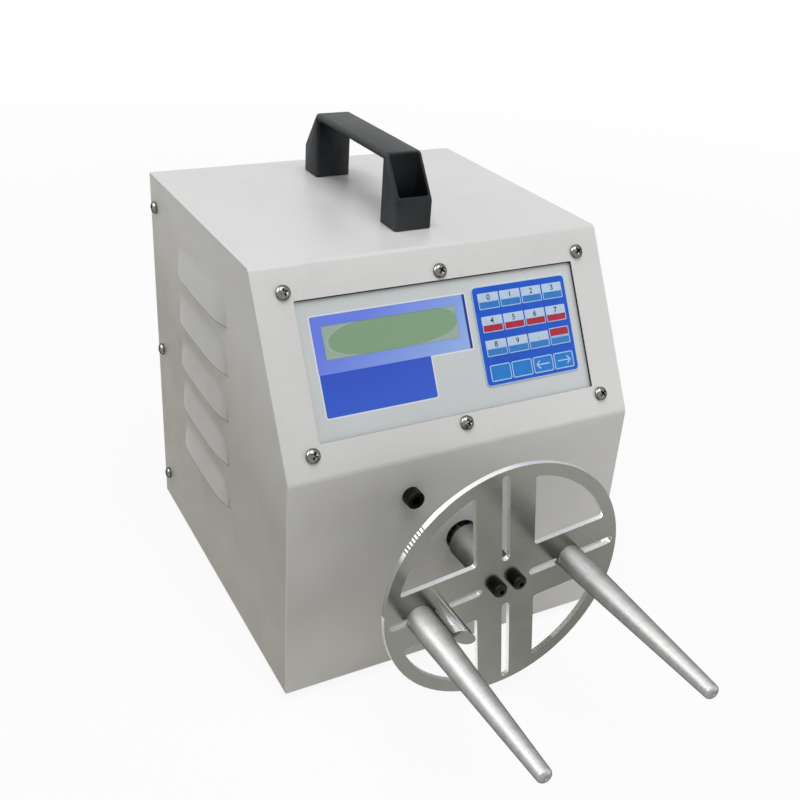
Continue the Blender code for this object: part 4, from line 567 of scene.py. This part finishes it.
PAINT = powder_paint()
SIDE_PAINT = powder_paint("louvred_side_coat", louvred=True)
NYLON = black_nylon()
SKIMMED = skimmed_aluminium()
WALLS = milled_walls()
ROD = turned_aluminium("turned_aluminium", (0.36, 0.366, 0.358), metallic=0.96)
HUB_METAL = turned_aluminium("hub_aluminium", (0.19, 0.19, 0.181), metallic=0.92)
PIN_SIDES = plain_metal("polished_pin_sides", (0.74, 0.745, 0.73), roughness=0.22,
                        streak=(300.0, 12.0, 300.0), rim=0.0)
STEEL = plain_metal("ground_steel", (0.45, 0.45, 0.46), roughness=0.28)
NICKEL = plain_metal("nickel_plate", (0.215, 0.212, 0.20), roughness=0.08,
                     streak=(400.0, 400.0, 400.0), dark=0.8, rim=0.0)
BLACK_STEEL = plain_plastic("blackened_steel", (0.0034, 0.0032, 0.0028), roughness=0.30,
                            grain_scale=1600.0, paler=1.5, shine=0.16)
ZINC = plain_metal("zinc_plated_sheet", (0.52, 0.53, 0.54), roughness=0.38, streak=(200.0, 12.0, 200.0))
CAST = plain_metal("cast_grey", (0.30, 0.31, 0.32), roughness=0.55,
                   streak=(500.0, 500.0, 500.0), metallic=0.5)
RUBBER = plain_plastic("black_rubber", (0.022, 0.022, 0.022), roughness=0.80, grain_scale=1400.0, paler=1.6)
SOCKET_BLACK = plain_plastic("black_socket_plastic", (0.020, 0.020, 0.022), roughness=0.38)
RED_PLASTIC = plain_plastic("red_rocker_plastic", (0.50, 0.03, 0.02), roughness=0.30)
SHEET_PRINT = printed_panel()
FILM = keypad_film()
GLASS = display_green()
BOARD = circuit_board()
# Painted shade: a near-black finish for the walls of the window in the sloping face
WINDOW_WALL_SHADE = plain_plastic("window_wall_painted_shade", (0.012, 0.012, 0.013), roughness=0.55,
                       grain_scale=1800.0, paler=1.5, shine=0.2)
INK_PALE = print_ink("pale_key_ink", (0.62, 0.78, 1.0))
INK_STRIP = print_ink("strip_blue_ink", (0.040, 0.245, 0.72))
INK_RED = print_ink("strip_red_ink", (0.52, 0.020, 0.055))
INK_LINE = print_ink("pale_line_ink", (0.50, 0.74, 1.0))
INK_DIGIT = print_ink("dark_digit_ink", (0.015, 0.02, 0.05))
INK_KEY = print_ink("key_blue_ink", (0.012, 0.240, 0.78))

NODE_LOOKS = {
    "front_cover": PAINT, "rear_panel": PAINT,
    "side_panel_left": SIDE_PAINT, "side_panel_right": SIDE_PAINT,
    "base_plate": ZINC, "panel_plate": ZINC, "motor_bracket": ZINC, "power_supply": ZINC,
    "printed_overlay": SHEET_PRINT, "keypad_film": FILM, "display_glass": GLASS,
    "display_frame": BLACK_STEEL, "control_board": BOARD, "bearing_housing": CAST, "motor": CAST,
    "hub": HUB_METAL, "spindle_pulley": HUB_METAL, "motor_pulley": HUB_METAL, "winding_disc": SKIMMED,
    "wire_pin": SKIMMED, "left_arm": ROD, "right_arm": ROD, "drive_belt": RUBBER, "carry_handle": NYLON,
    "switch_frame": SOCKET_BLACK, "mains_inlet": SOCKET_BLACK, "fuse_drawer": SOCKET_BLACK,
    "switch_rocker": RED_PLASTIC, "pedal_socket": NICKEL,
}


def node_look(name):
    """The finish of a solid, by its name."""
    if name in NODE_LOOKS:
        return NODE_LOOKS[name]
    if name.startswith("foot_"):
        return RUBBER
    if name.startswith(("panel_screw", "side_screw", "handle_screw")):
        return NICKEL
    if name.startswith(("flange_bolt", "centre_screw")):
        return BLACK_STEEL
    return STEEL


# Pieces
def linked_object(name, data):
    """A new object in the scene."""
    item = bpy.data.objects.new(name, data)
    bpy.context.scene.collection.objects.link(item)
    return item


def new_piece(name, bm, look, body, replaced=(), smooth=35.0):
    """A finished mesh as an object that rides on a body and may stand for solids."""
    mesh = bpy.data.meshes.new(name)
    bm.normal_update()
    bm.to_mesh(mesh)
    bm.free()
    mesh.materials.append(look)
    mesh.shade_smooth()
    mesh.set_sharp_from_angle(angle=math.radians(smooth))
    piece = linked_object(name, mesh)
    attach(piece, body)
    if replaced:
        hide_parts(*replaced)
    return piece


BODY_OF = {node: body for body, nodes in frame["record"]["behaviour"]["bodies"].items() for node in nodes}
MERGE_DISTANCE = 0.000002


def close_seam(bm):
    """A side panel grown upwards and forwards until it meets the folded cover."""
    lowest, highest = min(vert.co.z for vert in bm.verts), max(vert.co.z for vert in bm.verts)
    front, back = min(vert.co.y for vert in bm.verts), max(vert.co.y for vert in bm.verts)
    for vert in bm.verts:
        vert.co.z += SEAM * (vert.co.z - lowest) / (highest - lowest)
        vert.co.y -= SEAM * (back - vert.co.y) / (back - front)


def smoothed(name, edge=0.0, angle=30.0, reach=0.0, walls=None, flat=0.5, weighted=False):
    """A node's own shape: its loose triangles merged, its curves smooth and its edges softened.

    Reach moves its seat on the disc across the gap to it, walls is a second finish for what faces sideways,
    and weighted lets the large flat faces lead the shading.
    """
    source = frame["nodes"][name]
    bm = bmesh.new()
    bm.from_mesh(source.data)
    bmesh.ops.remove_doubles(bm, verts=bm.verts, dist=MERGE_DISTANCE)
    bmesh.ops.dissolve_limit(bm, angle_limit=math.radians(flat), verts=bm.verts, edges=bm.edges)
    if name.startswith("side_panel"):
        close_seam(bm)
    if reach:
        for vert in bm.verts:
            if abs(vert.co.y - (DISC_Y - GAP)) < GAP / 2:
                vert.co.y += reach
    bm.normal_update()
    if walls is not None:
        for face in bm.faces:
            face.material_index = 1 if abs(face.normal.y) < 0.5 else 0
    piece = new_piece(name + "_finish", bm, node_look(name), BODY_OF[name], (name,), smooth=angle)
    if walls is not None:
        piece.data.materials.append(walls)
    if edge > 0:
        bevel = piece.modifiers.new("softened_edges", "BEVEL")
        bevel.width = edge
        bevel.segments = 2
        bevel.limit_method = "ANGLE"
        bevel.angle_limit = math.radians(40.0)
        bevel.harden_normals = True
    if weighted:
        normals = piece.modifiers.new("flat_faces_lead", "WEIGHTED_NORMAL")
        normals.mode = "FACE_AREA"
        normals.weight = 100
        normals.keep_sharp = True
    return piece


def on_slope(across, down, out):
    """A point on the sloping face, from its place across and down and its height over the outer skin."""
    return SLOPE_START + Vector((across, 0, 0)) + DOWN * down + OUTWARD * out


def rounded_points(sides, corner, steps=5):
    """The outline of a rounded rectangle, as pairs of across and down."""
    left, right, top, bottom = sides
    centres = ((right - corner, top + corner), (right - corner, bottom - corner),
               (left + corner, bottom - corner), (left + corner, top + corner))
    points = []
    for quarter, (centre_x, centre_y) in enumerate(centres):
        for step in range(steps + 1):
            angle = math.radians(90.0) * (quarter - 1 + step / steps)
            points.append((centre_x + corner * math.cos(angle), centre_y + corner * math.sin(angle)))
    return points


def add_rings(bm, rings):
    """Faces between rings of points that follow one another."""
    made = [[bm.verts.new(point) for point in ring] for ring in rings]
    for first, second in zip(made, made[1:]):
        join_rings(bm, first, second)
    return made


def join_rings(bm, first, second):
    """A band of faces between two rings."""
    for number in range(len(first)):
        after = (number + 1) % len(first)
        bm.faces.new((first[number], first[after], second[after], second[number]))


def close_ends(bm, made):
    """Faces over the first and the last of a row of rings."""
    bm.faces.new(made[-1])
    bm.faces.new(list(reversed(made[0])))


def add_slab(bm, sides, low, high, corner=0.0004, edge=0.00004):
    """A thin rounded plate on the sloping face, with its rim rolled over."""
    outlines = ((rounded_points(sides, corner), low), (rounded_points(sides, corner), high - edge),
                (rounded_points(grown(sides, -edge), corner), high))
    close_ends(bm, add_rings(bm, [[on_slope(x, y, out) for x, y in points] for points, out in outlines]))


def add_border(bm, sides, width, low, high, corner=0.0005):
    """A thin raised line round a rectangle on the sloping face."""
    outer = rounded_points(sides, corner)
    inner = rounded_points(grown(sides, -width), max(corner - width, 0.00008))
    outlines = ((outer, low), (outer, high), (inner, high), (inner, low))
    made = add_rings(bm, [[on_slope(x, y, out) for x, y in points] for points, out in outlines])
    join_rings(bm, made[3], made[0])


def add_stroke(bm, start, end, width, low, high):
    """A straight printed stroke between two places on the sloping face."""
    run = Vector(end) - Vector(start)
    side = Vector((-run.y, run.x)).normalized() * width / 2
    corners = [Vector(start) + side, Vector(end) + side, Vector(end) - side, Vector(start) - side]
    rings = [[on_slope(point.x, point.y, out) for point in corners] for out in (low, high)]
    close_ends(bm, add_rings(bm, rings))


def add_figure(bm, text, across, down, height, low, thickness):
    """A plain printed figure, made a mesh before it is laid on the sloping face."""
    capital_share, boldness = 0.72, 0.022
    curve = bpy.data.curves.new("figure", "FONT")
    curve.body = text
    curve.size = height / capital_share
    curve.extrude = thickness / 2
    curve.offset = height * boldness
    curve.align_x = "CENTER"
    holder = linked_object("figure", curve)
    bpy.context.view_layer.update()
    flat = bpy.data.meshes.new_from_object(holder.evaluated_get(bpy.context.evaluated_depsgraph_get()))
    bpy.data.objects.remove(holder)
    first = len(bm.verts)
    bm.from_mesh(flat)
    bpy.data.meshes.remove(flat)
    bm.verts.ensure_lookup_table()
    for vert in bm.verts[first:]:
        flat_x, flat_y, flat_z = vert.co
        vert.co = on_slope(across + flat_x, down - flat_y, low + thickness / 2 + flat_z)


def add_figure_key(parts, left, top, figure, strip, base, low):
    """One key: a pale field with its figure over a coloured strip, and a line round the strip.

    The key without a figure has a red field, with a line round it too.
    """
    inset, line, red_lift, figure_drop, point_drop = 0.0002, 0.0004, 0.0004, 0.0033, 0.0028
    right = left + KEY_WIDTH
    waist, foot = top + KEY_WAIST, top + KEY_FOOT
    raised, line_high = low + 2 * PRINT_STEP, low + 5 * PRINT_STEP
    across = (left + inset, right - inset)
    if figure:
        baseline = top + (point_drop if figure == "." else figure_drop)
        add_slab(parts["pale"], (left, right, top, waist + line), base, low)
        add_figure(parts["digits"], figure, (left + right) / 2, baseline, FIGURE_HEIGHT,
                   low - PRINT_STEP, 2 * PRINT_STEP)
    else:
        red_sides = (*across, top - red_lift, waist - red_lift)
        add_slab(parts["red"], red_sides, base, raised)
        add_border(parts["line"], grown(red_sides, inset), line, base, line_high)
    add_slab(parts[strip], (*across, waist, foot), base, raised)
    add_border(parts["line"], (left, right, waist - inset / 2, foot + inset), line, base, line_high)


def add_arrow(bm, centre, middle, way, low):
    """A plain arrow on a key: its shaft and the two strokes of its head."""
    half_length, barb, stroke, past_point = 0.0035, 0.0018, 0.0006, 0.0002
    point = centre + way * half_length
    heights = (low - 2 * PRINT_STEP, low + 3 * PRINT_STEP)
    add_stroke(bm, (centre - way * half_length, middle), (point, middle), stroke, *heights)
    for lift in (-1, 1):
        add_stroke(bm, (point - way * barb, middle + lift * barb), (point + way * past_point, middle),
                   stroke, *heights)


def build_keypad():
    """The embossed membrane: three rows of numbered keys over coloured strips, and a row of plain keys."""
    finishes = {"pale": INK_PALE, "line": INK_LINE, "blue": INK_STRIP, "red": INK_RED, "plain": INK_KEY,
                "digits": INK_DIGIT, "arrows": INK_LINE}
    piece_names = {"blue": "keys_blue_strip", "red": "keys_red_strip", "digits": "keys_figures"}
    parts = {part: bmesh.new() for part in finishes}
    base = KEYPAD_FACE - 6 * PRINT_STEP
    low = KEYPAD_FACE + 10 * PRINT_STEP
    sheet_line, key_line, key_inset, key_corner, key_line_corner = 0.0004, 0.0005, 0.0002, 0.0007, 0.0009
    add_border(parts["line"], KEYPAD, sheet_line, base, KEYPAD_FACE + 5 * PRINT_STEP, KEYPAD_CORNER)
    for top, figures, strip in FIGURE_ROWS:
        for number, figure in enumerate(figures):
            add_figure_key(parts, KEY_LEFT + number * KEY_PITCH, top, figure, strip, base, low)
    middle = (PLAIN_KEY_TOP + PLAIN_KEY_BOTTOM) / 2
    for number, way in enumerate((0, 0, -1, 1)):
        left = KEY_LEFT + number * KEY_PITCH
        sides = (left, left + KEY_WIDTH, PLAIN_KEY_TOP, PLAIN_KEY_BOTTOM)
        add_slab(parts["plain"], grown(sides, -key_inset), base, low, key_corner)
        add_border(parts["line"], sides, key_line, base, low + 4 * PRINT_STEP, key_line_corner)
        if way:
            add_arrow(parts["arrows"], left + KEY_WIDTH / 2, middle, way, low)
    for part, ink in finishes.items():
        bmesh.ops.recalc_face_normals(parts[part], faces=parts[part].faces)
        new_piece(piece_names.get(part, "keys_" + part), parts[part], ink, "case")


# Screws and arms, turned from their profiles
def lathe_mesh(profile, segments):
    """A closed solid turned about Z from pairs of radius and height that start and end on the axis.

    Its points and faces are made in a fixed order, so that every run gives the same mesh.
    """
    bm = bmesh.new()
    turns = [math.tau * number / segments for number in range(segments)]
    rings = [[bm.verts.new((radius * math.cos(turn), radius * math.sin(turn), height)) for turn in turns]
             for radius, height in profile[1:-1]]
    for first, second in zip(rings, rings[1:]):
        join_rings(bm, first, second)
    for ring, (_, height) in ((rings[0], profile[0]), (rings[-1], profile[-1])):
        pole = bm.verts.new((0, 0, height))
        for number in range(segments):
            bm.faces.new((ring[number], ring[(number + 1) % segments], pole))
    bmesh.ops.recalc_face_normals(bm, faces=bm.faces)
    return bm


def cut_by(bm, cutters):
    """The mesh with each of the cutters taken out of it."""
    mesh = bpy.data.meshes.new("blank")
    bm.to_mesh(mesh)
    bm.free()
    blank = linked_object("blank", mesh)
    tools = []
    for cutter in cutters:
        tool_mesh = bpy.data.meshes.new("tool")
        bmesh.ops.recalc_face_normals(cutter, faces=cutter.faces)
        cutter.to_mesh(tool_mesh)
        cutter.free()
        modifier = blank.modifiers.new("cut", "BOOLEAN")
        modifier.operation = "DIFFERENCE"
        modifier.solver = "EXACT"
        modifier.object = linked_object("tool", tool_mesh)
        tools.append(modifier.object)
    bpy.context.view_layer.update()
    cut = bpy.data.meshes.new_from_object(blank.evaluated_get(bpy.context.evaluated_depsgraph_get()))
    for item in tools + [blank]:
        bpy.data.objects.remove(item)
    return cut


def rounded_rim(radius, height, bend, steps):
    """Profile points round a rim, from the flat end over the bend to the side."""
    points = []
    for step in range(steps + 1):
        angle = math.radians(90.0) * step / steps
        points.append((radius - bend + bend * math.sin(angle), height - bend + bend * math.cos(angle)))
    return points


def wedge(length, width, low, high, low_share):
    """A block that narrows downwards, for one bar of a cross recess."""
    bm = bmesh.new()
    rings = []
    for height, share in ((low, low_share), (high, 1.0)):
        half_x, half_y = length / 2 * share, width / 2 * (0.5 + 0.5 * share)
        corners = ((-half_x, -half_y), (half_x, -half_y), (half_x, half_y), (-half_x, half_y))
        rings.append([Vector((x, y, height)) for x, y in corners])
    close_ends(bm, add_rings(bm, rings))
    return bm


def pan_head(radius, head, shank, length):
    """A plated pan-head screw with a cross recess, its seat at zero."""
    crown, crown_steps, crown_drop, crown_share = math.radians(68.0), 7, 0.66, 0.985
    bar_length, bar_width, recess_floor, recess_taper = 1.36, 0.31, 0.20, 0.42
    chamfer, rim_share, past_head = 0.00008, 0.25, 0.0006
    profile = [(0.0, head)]
    for step in range(1, crown_steps + 1):
        angle = crown * step / crown_steps
        fall = (1 - math.cos(angle)) / (1 - math.cos(crown))
        out = crown_share * math.sin(angle) / math.sin(crown)
        profile.append((radius * out, head - fall * head * crown_drop))
    profile += [(radius, head * rim_share), (radius, chamfer), (radius - chamfer, 0.0), (shank, 0.0),
                (shank, -length), (0.0, -length)]
    bars = [wedge(radius * bar_length, radius * bar_width, head * recess_floor, head + past_head,
                  recess_taper) for _ in range(2)]
    quarter = Matrix.Rotation(math.pi / 2, 3, "Z")
    bmesh.ops.rotate(bars[1], verts=bars[1].verts, cent=(0, 0, 0), matrix=quarter)
    return cut_by(lathe_mesh(profile, segments=56), bars)


def cap_screw(radius, head, shank, length, socket, depth, round_share, ribs):
    """A blackened cap screw: rounded rim, hexagon socket and, where asked for, ribbed sides."""
    bend = radius * round_share
    sides = 72
    groove = 0.972
    outside = radius * 0.985
    rib_low, rib_high = head * 0.1, head - bend * 0.9
    profile = [(0.0, head)] + rounded_rim(radius, head, bend, steps=6)
    profile += [(radius, head * 0.12), (radius, 0.0), (shank, 0.0), (shank, -length), (0.0, -length)]
    bm = lathe_mesh(profile, segments=sides)
    if ribs:
        for vert in bm.verts:
            reach = math.hypot(vert.co.x, vert.co.y)
            turn = round(math.atan2(vert.co.y, vert.co.x) / math.tau * sides)
            if reach > outside and rib_low < vert.co.z < rib_high and turn % 2:
                vert.co.x *= groove
                vert.co.y *= groove
    hexagon = bmesh.new()
    bmesh.ops.create_cone(hexagon, cap_ends=True, segments=6, radius1=socket, radius2=socket,
                          depth=2 * depth)
    bmesh.ops.translate(hexagon, vec=(0, 0, head), verts=hexagon.verts)
    return cut_by(bm, [hexagon])


def set_in_place(name, mesh, axis, seat_from_top, turn):
    """A turned screw put on the axis of the solid that it stands for, with its crown at the same height."""
    source = frame["nodes"][name].data
    axis = Vector(axis).normalized()
    middle = sum((vert.co for vert in source.vertices), Vector()) / len(source.vertices)
    top = max(vert.co.dot(axis) for vert in source.vertices)
    seat = middle + axis * (top - seat_from_top - middle.dot(axis))
    place = Matrix.Translation(seat) @ axis.to_track_quat("Z", "Y").to_matrix().to_4x4()
    bm = bmesh.new()
    bm.from_mesh(mesh)
    bmesh.ops.transform(bm, matrix=place @ Matrix.Rotation(turn, 4, "Z"), verts=bm.verts)
    return new_piece(name + "_finish", bm, node_look(name), BODY_OF[name], (name,), smooth=28.0)


def build_screws():
    """Every screw, each turned a little differently as a hand leaves them."""
    panel_head, handle_head = 0.0022, 0.0025
    bolt_head, centre_head = 0.005 + GAP, 0.0046 + GAP
    panel = pan_head(radius=0.0032, head=panel_head, shank=0.0015, length=0.008)
    side = pan_head(radius=0.0031, head=panel_head, shank=0.0015, length=0.006)
    handle = pan_head(radius=0.0038, head=handle_head, shank=0.002, length=0.0092)
    turns = {"upper_left": 0.30, "upper_middle": 0.85, "upper_right": 0.55, "lower_left": 1.10,
             "lower_middle": 0.20, "lower_right": 0.65, "low": 0.4, "middle": 1.2, "high": 0.75,
             "front": 0.3, "rear": 1.0}
    for name in frame["nodes"]:
        turn = next((value for key, value in turns.items() if name.endswith("_" + key)), 0.0)
        if name.startswith("panel_screw"):
            set_in_place(name, panel, OUTWARD, panel_head, turn)
        elif name.startswith("side_screw"):
            set_in_place(name, side, (1 if "right" in name else -1, 0, 0), panel_head, turn)
        elif name.startswith("handle_screw"):
            set_in_place(name, handle, (0, 0, 1), handle_head, turn)
    bolt = cap_screw(radius=0.0043, head=bolt_head, shank=0.0025, length=0.0075,
                     socket=0.0023, depth=0.0026, round_share=0.14, ribs=True)
    centre = cap_screw(radius=0.0035, head=centre_head, shank=0.002, length=0.0095,
                       socket=0.00125, depth=0.0014, round_share=0.45, ribs=False)
    for side_name in ("left", "right"):
        set_in_place("flange_bolt_" + side_name, bolt, (0, -1, 0), bolt_head, 0.3)
        set_in_place("centre_screw_" + side_name, centre, (0, -1, 0), centre_head, 0.4)


def build_arm_finish(name, place):
    """A finely turned arm whose foot seats on the disc, at a place along the slots from the spindle."""
    tip, tip_radius, tip_bend = 0.094, 0.0033, 0.0020
    foot_radius, foot_top, foot_chamfer = 0.0061, 0.0134, 0.00005
    taper_start, taper_inset = 0.0146, 0.00006
    stud_radius, stud_length = 0.0016, 0.0089
    profile = [(0.0, tip - 0.0009), (0.0008, tip - 0.0001), (0.0010, tip)]
    profile += rounded_rim(tip_radius, tip, tip_bend, steps=8)
    profile += [(foot_radius - taper_inset, taper_start), (foot_radius, foot_top),
                (foot_radius, foot_chamfer), (foot_radius - foot_chamfer, 0.0),
                (stud_radius, 0.0), (stud_radius, -stud_length), (0.0, -stud_length)]
    bm = lathe_mesh(profile, segments=96)
    turn = Matrix.Rotation(math.radians(90.0), 4, "X")
    middle = Vector((-place * math.cos(DISC_TURN), DISC_Y, SPINDLE_Z - place * math.sin(DISC_TURN)))
    bmesh.ops.transform(bm, matrix=Matrix.Translation(middle) @ turn, verts=bm.verts)
    return new_piece(name + "_finish", bm, node_look(name), BODY_OF[name], (name,), smooth=30.0)


def shade_window_walls(cover):
    """Painted shade: a near-black finish on the walls of the window in the sloping face, where they lie in
    shade.
    """
    sheet_depth, upright = 0.002, 0.3
    cover.data.materials.append(WINDOW_WALL_SHADE)
    for face in cover.data.polygons:
        from_start = face.center - SLOPE_START
        down, out = from_start.dot(DOWN), from_start.dot(OUTWARD)
        beside = abs(face.center.x) < WINDOW_HALF + GAP
        between = WINDOW_TOP - GAP < down < WINDOW_BOTTOM + GAP
        if beside and between and abs(out) < sheet_depth and abs(face.normal.dot(OUTWARD)) < upright:
            face.material_index = 1


def build_display():
    """The display's glass, with its raised front filling the opening in the printed sheet."""
    flange, back, ledge, clearance = 0.0012, -0.0037, -0.0026, 0.00005
    bm = bmesh.new()
    add_slab(bm, grown(DISPLAY, flange), back, ledge)
    add_slab(bm, grown(DISPLAY, -clearance), ledge - 0.00002, OVERLAY_FACE - 0.00004, corner=clearance)
    bmesh.ops.recalc_face_normals(bm, faces=bm.faces)
    new_piece("display_finish", bm, GLASS, "case", ("display_glass",))


for node_name, node in frame["nodes"].items():
    node.data.materials.clear()
    node.data.materials.append(node_look(node_name))

for node_name in ("side_panel_left", "side_panel_right"):
    smoothed(node_name, angle=24.0, flat=0.05, weighted=True)
shade_window_walls(smoothed("front_cover"))
build_display()
for node_name in ("hub", "spindle", "bearing_housing", "pedal_socket", "foot_front_left",
                  "foot_front_right", "foot_rear_left", "foot_rear_right", "spindle_pulley",
                  "motor_pulley", "motor", "drive_belt", "motor_shaft", "bearing_front",
                  "bearing_rear", "left_arm_washer", "right_arm_washer"):
    smoothed(node_name)
smoothed("carry_handle", edge=0.0003, angle=50.0)
smoothed("winding_disc", walls=WALLS)
smoothed("wire_pin", reach=GAP, walls=PIN_SIDES)
build_arm_finish("left_arm", place=0.0434)
build_arm_finish("right_arm", place=-0.0337)
build_keypad()
build_screws()


# Stage, light and camera
def build_stage():
    """A pale floor that keeps the object's shadow and fades to plain white away from it."""
    floor_cream, floor_white = (0.46, 0.437, 0.365), (0.96, 0.96, 0.96)
    half_floor, near, far_off, near_white = 6.0, 0.30, 1.30, 0.90
    bm = bmesh.new()
    bmesh.ops.create_grid(bm, x_segments=1, y_segments=1, size=half_floor)
    mesh = bpy.data.meshes.new("floor")
    bm.to_mesh(mesh)
    bm.free()
    floor = linked_object("floor", mesh)
    look = Look("pale_floor", floor_cream, roughness=0.9)
    seen = look.background_rays()
    look.set("Base Color", look.mix(seen, floor_cream, floor_white))
    across, along = look.split()[:2]
    distance = (across * across + along * along).root()
    away = look.spread(distance, near, far_off, to_low=near_white, to_high=1.0)
    lit = Value(look, look.shader.outputs[0])
    glow = look.node("ShaderNodeEmission", Color=(1.0, 1.0, 1.0))
    blend = look.node("ShaderNodeMixShader", i0=seen * away, i1=lit, i2=glow)
    look.feed(look.nodes["Material Output"].inputs["Surface"], blend)
    mesh.materials.append(look.material)


def build_world():
    """Soft even fill that shows as plain white behind the object and in its reflections."""
    fill_strength = 0.19
    world = bpy.data.worlds.new("soft_studio")
    bpy.context.scene.world = world
    tree = Tree(world)
    fill = tree.nodes["Background"]
    tree.feed(fill.inputs["Color"], (1.0, 1.0, 1.0))
    tree.feed(fill.inputs["Strength"], fill_strength)
    white = tree.node("ShaderNodeBackground", Color=(1.0, 1.0, 1.0), Strength=1.0)
    lit = Value(tree, fill.outputs[0])
    blend = tree.node("ShaderNodeMixShader", i0=tree.background_rays(), i1=lit, i2=white)
    tree.feed(tree.nodes["World Output"].inputs["Surface"], blend)


def add_lamp(name, place, aim, size, power):
    """A square area lamp that faces a point."""
    data = bpy.data.lights.new(name, "AREA")
    data.energy = power
    data.size = size
    lamp = linked_object(name, data)
    lamp.location = place
    lamp.rotation_euler = (Vector(aim) - Vector(place)).to_track_quat("-Z", "Y").to_euler()
    return lamp


def build_lamps():
    """Three soft boxes, and a lamp seen only in shiny surfaces, for the bright line down turned metal."""
    add_lamp("top_softbox", (-0.10, -0.26, 1.36), aim=(0, 0, 0.10), size=0.9, power=10.0)
    add_lamp("right_softbox", (0.62, -0.62, 0.30), aim=(0.05, -0.03, 0.10), size=0.45, power=1.5)
    add_lamp("rear_softbox", (-0.50, 0.62, 0.60), aim=(-0.02, -0.12, 0.07), size=0.35, power=0.9)
    strip = add_lamp("arm_strip", (-0.82, 0.20, 0.84), aim=(0.0, -0.12, 0.07), size=0.85, power=15.0)
    strip.visible_diffuse = False


def build_camera():
    """The photograph's view."""
    data = bpy.data.cameras.new("camera")
    data.sensor_width = 36.0
    data.lens = 46.64
    data.clip_start = 0.01
    camera = linked_object("camera", data)
    right = Vector((0.8824, -0.4666, 0.0603)).normalized()
    ahead = Vector((0.4362, 0.7631, -0.4768)).normalized()
    up = right.cross(ahead).normalized()
    place = Vector((-0.22531, -0.32814 + FACE_Y, 0.34934 + FOOT))
    turn = Matrix((right, up, -ahead)).transposed().to_4x4()
    camera.matrix_world = Matrix.Translation(place) @ turn
    bpy.context.scene.camera = camera


build_stage()
build_world()
build_lamps()
build_camera()
bpy.context.scene.view_settings.view_transform = "Standard"
